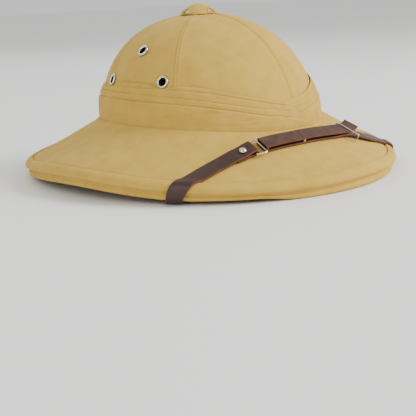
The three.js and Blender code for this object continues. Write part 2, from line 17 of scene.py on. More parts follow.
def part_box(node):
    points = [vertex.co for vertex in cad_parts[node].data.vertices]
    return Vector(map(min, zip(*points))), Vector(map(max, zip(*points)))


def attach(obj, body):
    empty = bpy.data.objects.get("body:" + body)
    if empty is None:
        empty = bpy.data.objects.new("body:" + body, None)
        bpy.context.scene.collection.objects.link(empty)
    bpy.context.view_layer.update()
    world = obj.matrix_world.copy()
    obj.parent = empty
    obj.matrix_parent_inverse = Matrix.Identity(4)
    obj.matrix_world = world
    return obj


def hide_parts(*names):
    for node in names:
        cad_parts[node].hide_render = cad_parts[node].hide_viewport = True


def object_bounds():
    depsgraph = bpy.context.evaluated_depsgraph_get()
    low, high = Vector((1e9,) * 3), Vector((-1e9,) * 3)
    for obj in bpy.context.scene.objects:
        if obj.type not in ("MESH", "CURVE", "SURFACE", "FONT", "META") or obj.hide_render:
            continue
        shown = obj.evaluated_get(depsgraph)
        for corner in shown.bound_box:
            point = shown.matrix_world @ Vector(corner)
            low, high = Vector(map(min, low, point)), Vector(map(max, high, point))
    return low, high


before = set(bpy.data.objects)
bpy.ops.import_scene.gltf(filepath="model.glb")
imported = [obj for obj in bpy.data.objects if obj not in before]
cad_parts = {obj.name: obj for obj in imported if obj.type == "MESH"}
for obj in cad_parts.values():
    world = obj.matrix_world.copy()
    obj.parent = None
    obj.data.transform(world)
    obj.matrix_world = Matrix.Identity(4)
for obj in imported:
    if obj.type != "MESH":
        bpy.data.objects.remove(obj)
cad_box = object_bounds()
MM = 0.001
crown_low, crown_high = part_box("crown")
cap_low, cap_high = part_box("vent_cap")
print(f"{len(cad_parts)} nodes, crown top at {crown_high.z / MM:.1f} mm")

# %% [markdown]
# ## Camera
# A worn thing is shown from about eye level, a little to one side of its front, so that the
# crown, the brim and the strap all read. A camera is an object whose own axes point right, up
# and backwards, so three angles give its matrix: how far round it stands, how far it looks
# down, and how much it leans. A 76 mm lens keeps the near brim from swelling.

# %% Camera
EYE = Vector((-553.7, -568.3, 148.6)) * MM
ROUND, DOWN, LEAN = (math.radians(angle) for angle in (-44.25, 13.4, -3.04))

backwards = Vector(
    (math.sin(ROUND) * math.cos(DOWN), -math.cos(ROUND) * math.cos(DOWN), math.sin(DOWN))
)
level = Vector((math.cos(ROUND), math.sin(ROUND), 0))
right = level * math.cos(LEAN) + backwards.cross(level) * math.sin(LEAN)
camera = bpy.data.objects.new("camera", bpy.data.cameras.new("camera"))
camera.data.lens = 75.75
camera.data.sensor_width = 36
camera.data.clip_end = 100
camera.matrix_world = Matrix.Translation(EYE) @ Matrix(
    (right, backwards.cross(right), backwards)
).transposed().to_4x4()
bpy.context.scene.collection.objects.link(camera)
bpy.context.scene.camera = camera
print("camera at", [round(value, 3) for value in EYE])

# %% [markdown]
# ## Colours and nodes
# Cloth, leather and metal are described by colours that people can read, as hex codes, but
# Blender's shaders add up light, so one function turns the codes to linear values. Another
# adds a node with its settings and links in one call, which keeps each material short enough
# to read as a recipe.

# %% Colours and nodes
def linear(code):
    """An sRGB hex colour as the linear values that a shader adds up."""
    parts = [int(code[i : i + 2], 16) / 255 for i in (1, 3, 5)]
    bent = [part / 12.92 if part <= 0.04045 else ((part + 0.055) / 1.055) ** 2.4 for part in parts]
    return (*bent, 1)


def add_node(tree, kind, settings=None, links=None):
    """Adds one node. A key of settings is a property's name, or a socket's name or number."""
    node = tree.nodes.new(kind)
    for key, value in (settings or {}).items():
        if isinstance(key, str) and hasattr(node, key):
            setattr(node, key, value)
        else:
            node.inputs[key].default_value = value
    for key, source in (links or {}).items():
        tree.links.new(source, node.inputs[key])
    return node


def new_finish(name):
    """A material with only its output and its main shader left in it."""
    finish = bpy.data.materials.new(name)
    finish.use_nodes = True
    return finish, finish.node_tree, finish.node_tree.nodes["Principled BSDF"]


print("khaki in linear light:", [round(value, 3) for value in linear("#c2a04a")])

# %% [markdown]
# ## Khaki cotton drill
# The hat is covered with cotton drill, a closely woven twill that is dyed khaki. Short fibres
# stand up from its threads, so it has no gloss and its edges look a little pale. Every mesh
# below carries a map of distances along its own cloth, in millimetres, so the weave can be
# drawn by three crossing waves at the thread spacing and follow each panel as real cloth does.
# Real drill has about two threads to the millimetre; it is drawn at 0.9 mm, because finer
# threads would melt into a flat tone. Uneven dye is a slow noise, and thicker threads, called
# slubs, are a noise that is stretched along the cloth.

# %% Khaki cotton drill
CLOTH_MAP = "cloth"


def wave_scale(period):
    """The wave texture turns 20 radians for each unit, so this gives one wave each period."""
    return math.tau / 20 / period


def cotton_drill(name, light, dark, thread=0.9):
    finish, tree, shader = new_finish(name)
    where = add_node(tree, "ShaderNodeUVMap", {"uv_map": CLOTH_MAP})
    waves = [
        add_node(
            tree,
            "ShaderNodeTexWave",
            {
                "bands_direction": direction,
                "Scale": wave_scale(thread),
                "Distortion": 1.2,
                "Detail Scale": 0.8,
            },
            {"Vector": where.outputs[0]},
        )
        for direction in ("X", "Y", "DIAGONAL")
    ]
    weave = waves[0].outputs["Fac"]
    for wave in waves[1:]:
        links = {0: weave, 1: wave.outputs["Fac"]}
        weave = add_node(tree, "ShaderNodeMath", {"operation": "ADD"}, links).outputs[0]
    fuzz = add_node(
        tree,
        "ShaderNodeTexNoise",
        {"Scale": 1 / 1.3, "Detail": 3, "Roughness": 0.65},
        {"Vector": where.outputs[0]},
    )
    dye = add_node(
        tree,
        "ShaderNodeTexNoise",
        {"Scale": 1 / 14, "Detail": 3, "Roughness": 0.55},
        {"Vector": where.outputs[0]},
    )
    stretched = add_node(
        tree,
        "ShaderNodeMapping",
        {"Scale": (1 / 16, 1 / 1.1, 1)},
        {"Vector": where.outputs[0]},
    )
    slub = add_node(
        tree,
        "ShaderNodeTexNoise",
        {"Scale": 1, "Detail": 2},
        {"Vector": stretched.outputs[0]},
    )
    tone = dye.outputs["Fac"]
    for source, share, mean in (
        (fuzz.outputs["Fac"], 0.5, 0.5),
        (slub.outputs["Fac"], 0.2, 0.5),
        (weave, 0.08, 1.5),
    ):
        spread = add_node(
            tree,
            "ShaderNodeMath",
            {"operation": "MULTIPLY_ADD", 1: share, 2: -share * mean},
            {0: source},
        )
        tone = add_node(
            tree, "ShaderNodeMath", {"operation": "ADD"}, {0: tone, 1: spread.outputs[0]}
        ).outputs[0]
    ramp = add_node(tree, "ShaderNodeValToRGB", None, {"Fac": tone})
    ramp.color_ramp.elements[0].position = 0.25
    ramp.color_ramp.elements[0].color = linear(dark)
    ramp.color_ramp.elements[1].position = 0.75
    ramp.color_ramp.elements[1].color = linear(light)
    relief = add_node(
        tree,
        "ShaderNodeMath",
        {"operation": "MULTIPLY_ADD", 1: 1.6},
        {0: fuzz.outputs["Fac"], 2: weave},
    )
    bump = add_node(
        tree,
        "ShaderNodeBump",
        {"Strength": 0.5, "Distance": 0.1 * MM},
        {"Height": relief.outputs[0]},
    )
    tree.links.new(ramp.outputs["Color"], shader.inputs["Base Color"])
    tree.links.new(bump.outputs["Normal"], shader.inputs["Normal"])
    shader.inputs["Roughness"].default_value = 0.9
    shader.inputs["Specular IOR Level"].default_value = 0.15
    shader.inputs["Sheen Weight"].default_value = 0.05
    shader.inputs["Sheen Roughness"].default_value = 0.5
    return finish


khaki = cotton_drill("khaki_cotton_drill", "#d1ac4e", "#c29d40")
# A darker copy of the khaki for the brim's underside and the crown's inside: painted shade.
shaded_inside_cloth = cotton_drill("khaki_cotton_painted_shade", "#b8984d", "#9f803a")
# A near black brown for the cap's inside: the fibre's own brown, darkened to paint the shade in the vents.
fibre_and_vent_shade = cotton_drill("brown_fibre_and_painted_vent_shade", "#4a3120", "#2c1c12", thread=1.4)
print("cloth:", khaki.name, shaded_inside_cloth.name, fibre_and_vent_shade.name)

# %% [markdown]
# ## Bridle leather
# The strap is cowhide that was dyed dark brown, dressed with wax and glazed by rolling, so its
# face is smooth with a fine pebble of pores and a soft shine that spreads on the bends. Its
# cut edges stay raw: they are redder, paler and dull. The back is flesh side, a short nap.
# Each is a recipe of its own, because light meets the three surfaces differently.

# %% Bridle leather
def hide(name, light, dark, gloss_roughness, coat, pore, depth):
    finish, tree, shader = new_finish(name)
    where = add_node(tree, "ShaderNodeUVMap", {"uv_map": CLOTH_MAP})
    cells = add_node(
        tree,
        "ShaderNodeTexVoronoi",
        {"feature": "SMOOTH_F1", "Scale": 1 / pore, "Smoothness": 0.6},
        {"Vector": where.outputs[0]},
    )
    wear = add_node(
        tree,
        "ShaderNodeTexNoise",
        {"Scale": 1 / 7, "Detail": 5, "Roughness": 0.6},
        {"Vector": where.outputs[0]},
    )
    ramp = add_node(tree, "ShaderNodeValToRGB", None, {"Fac": wear.outputs["Fac"]})
    ramp.color_ramp.elements[0].position = 0.32
    ramp.color_ramp.elements[0].color = linear(dark)
    ramp.color_ramp.elements[1].position = 0.72
    ramp.color_ramp.elements[1].color = linear(light)
    rough = add_node(
        tree,
        "ShaderNodeMapRange",
        {"To Min": gloss_roughness - 0.05, "To Max": gloss_roughness + 0.1},
        {"Value": wear.outputs["Fac"]},
    )
    bump = add_node(
        tree,
        "ShaderNodeBump",
        {"Strength": 0.35, "Distance": depth * MM},
        {"Height": cells.outputs["Distance"]},
    )
    tree.links.new(ramp.outputs["Color"], shader.inputs["Base Color"])
    tree.links.new(rough.outputs["Result"], shader.inputs["Roughness"])
    tree.links.new(bump.outputs["Normal"], shader.inputs["Normal"])
    shader.inputs["Coat Weight"].default_value = coat
    shader.inputs["Coat Roughness"].default_value = 0.22
    return finish


leather = hide("brown_bridle_leather", "#3f1f12", "#2a130a", 0.42, 0.1, 0.7, 0.05)
leather_edge = hide("raw_leather_edge", "#7a4632", "#532d1c", 0.7, 0, 0.5, 0.12)
leather_back = hide("leather_flesh_side", "#573a2c", "#3c261c", 0.85, 0, 0.6, 0.12)
STRAP_FINISHES = (leather, leather_edge, leather_back)
print("leather:", [finish.name for finish in STRAP_FINISHES])

# %% [markdown]
# ## Nickel plate
# Eyelets, wires and the stud are brass with a plating of nickel, tumbled to a mirror. Nickel
# is a slightly warm silver. A mirror this small shows its surroundings, so the only texture is
# a faint haze of handling marks in its roughness.

# %% Nickel plate
def plated(name, colour, low, high):
    finish, tree, shader = new_finish(name)
    where = add_node(tree, "ShaderNodeTexCoord")
    haze = add_node(
        tree,
        "ShaderNodeTexNoise",
        {"Scale": 1 / (1.5 * MM), "Detail": 4},
        {"Vector": where.outputs["Object"]},
    )
    rough = add_node(
        tree,
        "ShaderNodeMapRange",
        {"To Min": low, "To Max": high},
        {"Value": haze.outputs["Fac"]},
    )
    tree.links.new(rough.outputs["Result"], shader.inputs["Roughness"])
    shader.inputs["Base Color"].default_value = linear(colour)
    shader.inputs["Metallic"].default_value = 1
    return finish


nickel = plated("polished_nickel_plate", "#dcd9d2", 0.08, 0.22)
print("metal:", nickel.name)

# %% [markdown]
# ## The hat's surfaces
# The crown, the brim and the rim are all ovals seen from above, so one function places a point
# on an oval. The angle starts at the front and runs towards the wearer's right. Working with
# whole arrays of angles at once keeps fine meshes quick to make.

# %% The hat's surfaces
CROWN = {"length": 102.2, "width": 90, "wall": 3, "axis": -8, "lean": 6.5, "vent": 9}
APEX = crown_high.z / MM
SHOULDER, FULLNESS = 2.1, 2.28
JOIN = {"length": 106.2, "width": 96.6, "height": 46.6, "dip": 2.45, "lift": 2.98}
SEAM = {"length": 171, "inset": 23.1, "height": 14.5}
BULGE = 9.8


def smooth(value):
    value = np.clip(value, 0, 1)
    return value * value * (3 - 2 * value)


def on_oval(angle, length, width, axis, height):
    angle, length, width, height = np.broadcast_arrays(angle, length, width, height)
    return np.stack([-width * np.sin(angle), axis - length * np.cos(angle), height], -1)


def join_height(angle):
    return JOIN["height"] - JOIN["dip"] * np.cos(angle) - JOIN["lift"] * np.cos(2 * angle)


def join_point(angle):
    return on_oval(angle, JOIN["length"], JOIN["width"], CROWN["axis"], join_height(angle))


def rim_point(angle, out, up):
    """A point of the rolled rim: how far out from the seam, and how high above its foot."""
    wave = 3.05 - 3.75 * np.cos(2 * angle) + 2.26 * np.cos(4 * angle)
    turn = np.degrees(np.arcsin(np.abs(np.sin(angle))))
    foot = 2.7 * smooth((turn - 22) / 14) + 6.3 * smooth((turn - 50) / 40)
    low = foot + (BULGE + wave - foot) * (up / BULGE)
    length = SEAM["length"] + out
    return on_oval(angle, length, length - SEAM["inset"], 0, np.where(up < BULGE, low, up + wave))


def brim_point(angle, reach):
    reach = np.asarray(reach)[..., None]
    return join_point(angle) * (1 - reach) + rim_point(angle, 0, SEAM["height"]) * reach


def dome_point(angle, climb, inset=0):
    """The crown's wall. climb runs from 0 at the foot to 1 on top; inset is measured inwards."""
    rise = np.sin(climb * math.pi / 2) ** (2 / SHOULDER)
    spread = np.cos(climb * math.pi / 2) ** (2 / FULLNESS)
    foot = join_height(angle)
    point = on_oval(
        angle,
        (CROWN["length"] - inset) * spread,
        (CROWN["width"] - inset) * spread,
        0,
        foot + (APEX - inset - foot) * rise,
    )
    point[..., 1] += CROWN["axis"] + CROWN["lean"] * rise
    return point


def climb_to(height, angle):
    """The climb at which the dome reaches a height."""
    foot = join_height(angle)
    rise = np.clip((height - foot) / (APEX - foot), 0, 1)
    return 2 / math.pi * np.arcsin(rise ** (SHOULDER / 2))


print("rim height at front and side:", rim_point(np.radians([0, 90]), 7, BULGE)[:, 2].round(1))

# %% [markdown]
# ## From rows of points to a mesh
# Most pieces of this hat are a strip of rings, so they share one builder. It joins neighbouring
# points with four-sided faces, writes the cloth's own distances as a UV map, and turns the
# faces outwards by the sign of the volume. Every finished piece then takes the place of its
# workshop solid and moves with the hat's one body.

# %% From rows of points to a mesh
def walk(grid, axis):
    """Mean distance along a grid from its first row or column, in mm."""
    steps = np.linalg.norm(np.diff(grid, axis=axis), axis=2).mean(1 - axis)
    return np.concatenate([[0], np.cumsum(steps)])


def close_up(grid, round_it=True, over_it=True):
    """The grid with its first column, row or both repeated at its end."""
    full = np.concatenate([grid, grid[:, :1]], 1) if round_it else grid
    return np.concatenate([full, full[:1]], 0) if over_it else full


def lay_cloth(grid, round_it, over_it, bias=False):
    """The cloth's distances for each corner: round the hat, and across it."""
    full = close_up(grid, round_it, over_it)
    across, along = np.meshgrid(walk(full, 0), walk(full, 1), indexing="ij")
    if bias:
        across, along = (across + along) / math.sqrt(2), (along - across) / math.sqrt(2)
    return np.stack([along, across], -1)


def grid_mesh(name, grid, cloth, round_it=True, over_it=True, finishes=(khaki,), parts=None, sharp=40):
    rows, columns = grid.shape[:2]
    r, c = np.meshgrid(
        np.arange(rows if over_it else rows - 1),
        np.arange(columns if round_it else columns - 1),
        indexing="ij",
    )
    ring = ((r, c), (r, c + 1), (r + 1, c + 1), (r + 1, c))
    faces = np.stack([(a % rows) * columns + b % columns for a, b in ring], -1).reshape(-1, 4)
    spots = np.stack([cloth[a, b] for a, b in ring], -2).reshape(-1, 4, 2)
    points = grid.reshape(-1, 3)
    corners = points[faces]
    volume = np.einsum("ij,ij->i", corners[:, 0], np.cross(corners[:, 1], corners[:, 2])).sum()
    volume += np.einsum("ij,ij->i", corners[:, 0], np.cross(corners[:, 2], corners[:, 3])).sum()
    if volume < 0:
        faces, spots = faces[:, ::-1], spots[:, ::-1]
    ends = []
    if round_it and not over_it:
        ends = [list(range(columns)), list(range((rows - 1) * columns, rows * columns))]
        ends[1 if volume < 0 else 0].reverse()
    mesh = bpy.data.meshes.new(name)
    mesh.from_pydata((points * MM).tolist(), [], faces.tolist() + ends)
    layer = mesh.uv_layers.new(name=CLOTH_MAP)
    extra = [(points[k][0], points[k][2]) for end in ends for k in end]
    flat = np.concatenate([spots.reshape(-1, 2), np.array(extra).reshape(-1, 2)])
    layer.data.foreach_set("uv", flat.astype(np.float32).ravel())
    for finish in finishes:
        mesh.materials.append(finish)
    if parts is not None:
        indices = np.concatenate([np.broadcast_to(parts, r.shape).ravel(), np.ones(len(ends), int)])
        mesh.polygons.foreach_set("material_index", indices.astype(np.int32))
    mesh.shade_smooth()
    mesh.set_sharp_from_angle(angle=math.radians(sharp))
    mesh.validate()
    return mesh


def place(name, mesh, nodes=()):
    """Puts a mesh in the scene as a piece that stands for its workshop solids."""
    piece = bpy.data.objects.new(name, mesh)
    bpy.context.scene.collection.objects.link(piece)
    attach(piece, "root")
    if nodes:
        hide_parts(*nodes)
    print(f"{name}: {len(mesh.polygons)} faces, {(piece.dimensions / MM)[:]}")
    return piece


def blend_curve(table, at):
    """A smooth curve through a short table of (where, value) rows."""
    where, value = np.array(table, float).T
    order = np.argsort(where)
    where, value = where[order], value[order]
    slope = np.gradient(value, where)
    k = np.clip(np.searchsorted(where, at) - 1, 0, len(where) - 2)
    width = where[k + 1] - where[k]
    t = np.clip((at - where[k]) / width, 0, 1)
    start, end = value[k], value[k + 1]
    bend = (t - 2 * t**2 + t**3) * width * slope[k] + (t**3 - t**2) * width * slope[k + 1]
    return start + (end - start) * smooth(t) + bend


# %% [markdown]
# ## Eyelet places and how to drill
# Three eyelets on each side let air through the crown, one high and two low. Their holes are
# real: a boolean takes the drills away from the crown, so light passes through the wall as it
# does on the hat. The drill's direction is the wall's normal, found by stepping a little each
# way on the dome.

# %% Eyelet places and drills
EYELET_SPOTS = (("top", 0, 109.3), ("front", -19, 85.2), ("back", 20.8, 85.5))
EYELET = {"flange": 5.3, "bore": 3.3, "hole": 4.6}


def unit(vector):
    return vector / np.linalg.norm(vector, axis=-1, keepdims=True)


def dome_normal(angle, climb, step=0.004):
    sideways = dome_point(angle + step, climb) - dome_point(angle - step, climb)
    upward = dome_point(angle, climb + step) - dome_point(angle, climb - step)
    return unit(np.cross(upward, sideways))


def lathe(name, profile, segments, finish, spot, normal, sharp=40):
    """Spins a profile of (out, up) rows about a normal that stands on a spot."""
    axis = Vector(normal).to_track_quat("Z", "Y").to_matrix()
    turn = np.linspace(0, math.tau, segments, endpoint=False)
    out, up = np.array(profile, float).T
    grid = np.stack(
        [
            out[:, None] * np.cos(turn),
            out[:, None] * np.sin(turn),
            np.repeat(up[:, None], segments, 1),
        ],
        -1,
    )
    grid = grid @ np.array(axis).T + np.array(spot)
    cloth = lay_cloth(grid, True, True)
    return grid_mesh(name, grid, cloth, True, True, (finish,), None, sharp)


def rod_tool(radius, low, high, spot, normal):
    """A plain drill, as a loose object that a boolean can take away."""
    profile = ((0.01, low), (radius, low), (radius, high), (0.01, high))
    tool = bpy.data.objects.new("drill", lathe("drill", profile, 32, nickel, spot, normal))
    bpy.context.scene.collection.objects.link(tool)
    return tool


def cut_away(mesh, tools):
    """The mesh with the tools cut out of it, and the tools cleared away."""
    work = bpy.data.objects.new("work", mesh)
    bpy.context.scene.collection.objects.link(work)
    for tool in tools:
        step = work.modifiers.new("cut", "BOOLEAN")
        step.operation = "DIFFERENCE"
        step.solver = "EXACT"
        step.object = tool
    graph = bpy.context.evaluated_depsgraph_get()
    result = bpy.data.meshes.new_from_object(work.evaluated_get(graph))
    result.name = mesh.name
    for item in (work, *tools):
        bpy.data.objects.remove(item)
    return result


eyelets = []
for side, sign in (("right", 1), ("left", -1)):
    for spot_name, turn, height in EYELET_SPOTS:
        angle = np.radians(sign * (90 + turn))
        climb = climb_to(height, angle)
        eyelets.append((f"{side}_{spot_name}", dome_point(angle, climb), dome_normal(angle, climb)))
print("eyelets:", [name for name, *_ in eyelets])

# %% [markdown]
# ## Crown
# Six gores of cloth meet on seams that run from the cap down under the band. At each seam one
# gore is turned under and lapped over the next, then stitched two millimetres from the fold,
# so a seam shows as a fold line with a faint line of stitches beside it. The cloth pulls a
# little flat between seams. The mesh has close columns beside every seam, and the height of
# the cloth over the shell comes from the distance to the seam.

# %% Crown
SEAM_TURNS = (1.5, 64.5, 118, 181.5, 244.5, 298)
LAP = 5.5  # mm of cloth beside a seam that its fold disturbs
PLAIN_SIDE = ((0.02, -0.16), (0.3, -0.08), (1, 0), (2.5, 0), (LAP, 0))
LAPPED_SIDE = (
    (LAP, 0),
    (3.6, 0.18),
    (2.8, 0.36),
    (2.25, 0.3),
    (2.0, 0.12),
    (1.75, 0.3),
    (1.2, 0.46),
    (0.5, 0.5),
    (0.15, 0.4),
    (0.02, 0.2),
)
GORE_COLUMNS = 20
PULL = 0.8  # mm by which the middle of a gore is pulled in


def cloth_ripple(along, across, scale=1.0):
    """Small slow unevenness of glued cloth, from a few crossing waves, in mm."""
    waves = (
        np.sin(along / 23 + 1.3 * np.sin(across / 31))
        + np.sin(across / 17 + 0.7 + 1.1 * np.sin(along / 27))
        + 0.6 * np.sin((along + across) / 11 + 2.0)
    )
    return scale * waves / 2.6


def gore(start, end, climbs):
    """Points and cloth distances of one gore between two seams, a row for each climb."""
    def speed(angle):
        run = dome_point(angle + 0.001, climbs) - dome_point(angle - 0.001, climbs)
        return np.linalg.norm(run, axis=-1) / 0.002

    first, last = speed(np.full_like(climbs, start)), speed(np.full_like(climbs, end))
    width = (end - start) * (first + last) / 2
    squeeze = np.minimum(1, 0.4 * width / LAP)
    columns, lifts = [], []
    for offset, lift in PLAIN_SIDE:
        columns.append(start + offset * squeeze / first)
        lifts.append(lift)
    inner = np.linspace(0, 1, GORE_COLUMNS + 2)[1:-1]
    low, high = start + LAP * squeeze / first, end - LAP * squeeze / last
    for step in inner:
        columns.append(low + (high - low) * step)
        lifts.append(0)
    for offset, lift in LAPPED_SIDE:
        columns.append(end - offset * squeeze / last)
        lifts.append(lift)
    angles = np.stack(columns, 1)
    share = (angles - start) / (end - start)
    points = dome_point(angles, climbs[:, None])
    normals = dome_normal(angles, climbs[:, None])
    along = (share - 0.5) * width[:, None]
    across = np.repeat(walk(points, 0)[:, None], angles.shape[1], 1)
    height = np.array(lifts)[None] * squeeze[:, None]
    height = height - PULL * np.sin(math.pi * share) * (width / width.max())[:, None]
    height += cloth_ripple(along + 97 * start, across, 0.16) * np.sin(math.pi * share)
    return points + normals * height[..., None], np.stack([along, across], -1), angles


foot_climb = 0.018
vent_climb = 2 / math.pi * math.acos((CROWN["vent"] / CROWN["length"]) ** (FULLNESS / 2))
rows = foot_climb + (vent_climb - foot_climb) * np.linspace(0, 1, 72) ** 0.9
bounds = np.radians((*SEAM_TURNS, 360))
gores = [gore(start, end, rows) for start, end in zip(bounds, bounds[1:])]
outside = np.concatenate([points for points, _, _ in gores], 1)
laid = np.concatenate([cloth for _, cloth, _ in gores], 1)
angles = np.concatenate([angle for _, _, angle in gores], 1)
inner_rows = rows[::-4]
inside = dome_point(angles[::-4], inner_rows[:, None], CROWN["wall"])
crown_grid = np.concatenate([outside, inside])
crown_cloth = close_up(np.concatenate([laid, laid[::-4]]))
# The crown's inner faces take the darker khaki, which paints shade inside the crown.
is_shaded_inside = (np.arange(len(crown_grid)) >= len(outside) - 1).astype(int)[:, None]
crown_mesh = grid_mesh(
    "crown_cover", crown_grid, crown_cloth, finishes=(khaki, shaded_inside_cloth), parts=is_shaded_inside, sharp=55
)
crown_mesh = cut_away(
    crown_mesh, [rod_tool(EYELET["hole"] - 0.4, -8, 6, spot, normal) for _, spot, normal in eyelets]
)
crown = place("crown_cover", crown_mesh, ["crown"])

# %% [markdown]
# ## Gore stitches
# The lapped seams are held by a row of short stitches in matching thread. Each is a small
# bead of thread that lies along the seam. They are copies of one little mesh, joined into a
# single piece, because hundreds of objects would be slow and no easier to read.

# %% Gore stitches
THREAD = 0.28  # mm, half of a thread's thickness
STITCH = 2.4  # mm from hole to hole


def stitch_mesh(name, runs, finish, length=STITCH):
    """Joined thread beads along runs of (points, normals), each run in mm."""
    all_points, all_faces = [], []
    ring_turn = np.linspace(0, math.tau, 6, endpoint=False)
    shape = ((0.0, 0.35), (0.2, 0.9), (0.5, 1.0), (0.8, 0.9), (1.0, 0.35))
    for points, normals in runs:
        measured = np.concatenate([[0], np.cumsum(np.linalg.norm(np.diff(points, axis=0), axis=1))])
        count = int(measured[-1] / length)
        for k in range(count):
            ends = [(k + 0.12) * length, (k + 0.88) * length]
            start, end = (np.array([np.interp(e, measured, points[:, i]) for i in range(3)]) for e in ends)
            middle = (ends[0] + ends[1]) / 2
            normal = unit(np.array([np.interp(middle, measured, normals[:, i]) for i in range(3)]))
            side = unit(np.cross(end - start, normal))
            base = len(all_points)
            for t, fat in shape:
                centre = start + (end - start) * t + normal * THREAD * (fat - 0.6)
                for turn in ring_turn:
                    spoke = side * math.cos(turn) + normal * math.sin(turn)
                    all_points.append(centre + spoke * THREAD * fat)
            for r in range(len(shape) - 1):
                for c in range(6):
                    a, b = base + r * 6 + c, base + r * 6 + (c + 1) % 6
                    all_faces.append((a, b, b + 6, a + 6))
            all_faces.append(tuple(base + c for c in range(5, -1, -1)))
            all_faces.append(tuple(base + 24 + c for c in range(6)))
    mesh = bpy.data.meshes.new(name)
    mesh.from_pydata((np.array(all_points) * MM).tolist(), [], all_faces)
    layer = mesh.uv_layers.new(name=CLOTH_MAP)
    corners = np.zeros(len(mesh.loops), int)
    mesh.loops.foreach_get("vertex_index", corners)
    layer.data.foreach_set("uv", np.array(all_points)[corners][:, 1:].astype(np.float32).ravel())
    mesh.materials.append(finish)
    mesh.shade_smooth()
    return mesh


thread = cotton_drill("khaki_sewing_thread", "#c0a04e", "#a5873c", thread=0.6)
stitch_column = len(PLAIN_SIDE) + GORE_COLUMNS + 4
runs = []
for points, _, spots in gores:
    shown = slice(20, 70)
    normals = dome_normal(spots[shown, stitch_column], rows[shown])
    runs.append((points[shown, stitch_column] + normals * 0.12, normals))
gore_stitches = place("gore_stitches", stitch_mesh("gore_stitches", runs, thread))

# %% [markdown]
# ## Brim
# The brim slopes from the foot of the crown to the rim. One piece of drill was stretched over
# it, so its weave runs straight across the whole hat and not round it. That is why its cloth
# map is simply the view from above, drawn out by the slope. Next to the band the cloth rises
# in a small cove.

# %% Brim
BRIM_WALL = 3.3
LEDGE = 2.4
turns = np.radians(np.arange(0, 360, 1))
reaches = np.concatenate([np.linspace(0, 0.1, 8)[:-1], np.linspace(0.1, 0.975, 34), [0.985, 0.99]])


def ledge_ring(grow):
    shell = CROWN["wall"] - grow
    return on_oval(
        turns,
        CROWN["length"] - shell,
        CROWN["width"] - shell,
        CROWN["axis"],
        join_height(turns) + LEDGE,
    )


top_rings = [ledge_ring(0), ledge_ring(CROWN["wall"] + 0.4)]
for reach in reaches:
    ring = brim_point(turns, np.full_like(turns, reach))
    cove = 0.9 * np.clip(1 - reach / 0.07, 0, 1) ** 2
    sag = 0.5 * math.sin(math.pi * reach) ** 2
    tuck = 0.5 * np.clip((reach - 0.975) / 0.015, 0, 1)
    fade = smooth(reach * 8) * smooth((1 - reach) * 9)
    wave = cloth_ripple(ring[:, 0] * 1.3, ring[:, 1] * 1.3, 0.22) * fade
    ring[:, 2] += cove - sag - tuck + wave
    top_rings.append(ring)
top = np.stack(top_rings)
under = top[::-3] - (0, 0, BRIM_WALL)
brim_grid = np.concatenate([top, under])
SLOPE = (1.06, 1.04)  # how much longer the sloping cloth is than its view from above
brim_cloth = close_up(brim_grid[..., :2] * SLOPE)
# The brim's underside takes the darker khaki, which paints shade under the brim.
is_shaded_under = (np.arange(len(brim_grid)) >= len(top) - 1).astype(int)[:, None]
brim_mesh = grid_mesh("brim_cover", brim_grid, brim_cloth, finishes=(khaki, shaded_inside_cloth), parts=is_shaded_under)
brim = place("brim_cover", brim_mesh, ["brim"])

# %% [markdown]
# ## Bound rim
# The rim is a roll with a strip of drill bound over it. The strip is cut on the bias, at 45
# degrees to the threads, because only then does it bend round an oval without creasing. From
# the seam it bulges outwards, draws in to a groove, and ends in a smaller lower roll. A dozen
# corners give that outline; cutting each corner off twice rounds it, as a wooden block is
# rounded with a plane.

# %% Bound rim
RIM_CORNERS = (
    (-0.2, 14.2),
    (0.0, 15.0),
    (1.0, 15.3),
    (3.6, 14.3),
    (6.2, 12.3),
    (7.3, 9.8),
    (6.6, 7.4),
    (3.7, 6.4),
    (3.1, 4.7),
    (4.5, 3.3),
    (3.8, 0.7),
    (1.8, 0.0),
    (-1.2, 0.0),
    (-2.2, 1.4),
    (-1.4, 5.0),
    (-1.6, 10.4),
    (-0.6, 10.6),
)


def plane_corners(points, times, closed):
    """Chaikin's rule: each pass replaces a corner by two, a quarter of the way along."""
    for _ in range(times):
        following = np.roll(points, -1, 0) if closed else points[1:]
        current = points if closed else points[:-1]
        cut = np.stack([current * 0.75 + following * 0.25, current * 0.25 + following * 0.75], 1)
        cut = cut.reshape(-1, *points.shape[1:])
        points = cut if closed else np.concatenate([points[:1], cut[1:-1], points[-1:]])
    return points


def pucker(angle, strength):
    """Tiny gathers that sewing leaves along the binding's edge, in mm."""
    return strength * (np.sin(angle * 151) * np.sin(angle * 37 + 1) + 0.5 * np.sin(angle * 89 + 2))


rim_turns = np.radians(np.arange(0, 360, 0.75))
profile = plane_corners(np.array(RIM_CORNERS), 2, True)
rim_grid = np.stack([rim_point(rim_turns, out, up) for out, up in profile])
edge_near = np.exp(-((profile[:, 1] - 14.6) ** 2 + (profile[:, 0] - 1.5) ** 2) / 6)[:, None]
rim_grid[..., 2] += edge_near * pucker(rim_turns, 0.07)
band_roll = cloth_ripple(rim_turns * 160, profile[:, :1] * 3 + profile[:, 1:] * 3, 0.12)
rim_grid[..., 2] += band_roll * (profile[:, 1:] > 2)
rim_mesh = grid_mesh("rolled_rim", rim_grid, lay_cloth(rim_grid, True, True, bias=True), sharp=60)
rim = place("rolled_rim", rim_mesh, ["rim_binding"])

# %% [markdown]
# ## Puggaree
# The puggaree is one long scarf, pleated lengthwise and wound round the crown. Its folds run
# level round the sides. Towards the front those from the wearer's right draw down and cross
# over those from the left, which slip out from under them and climb away. Cloth that lies in
# layers is a height field: at each place round the band and up it, add one thickness for each
# fold whose edge lies above. The edge of every fold is a short table of angle and height, and
# a rounded step gives the turned edge of doubled cotton.

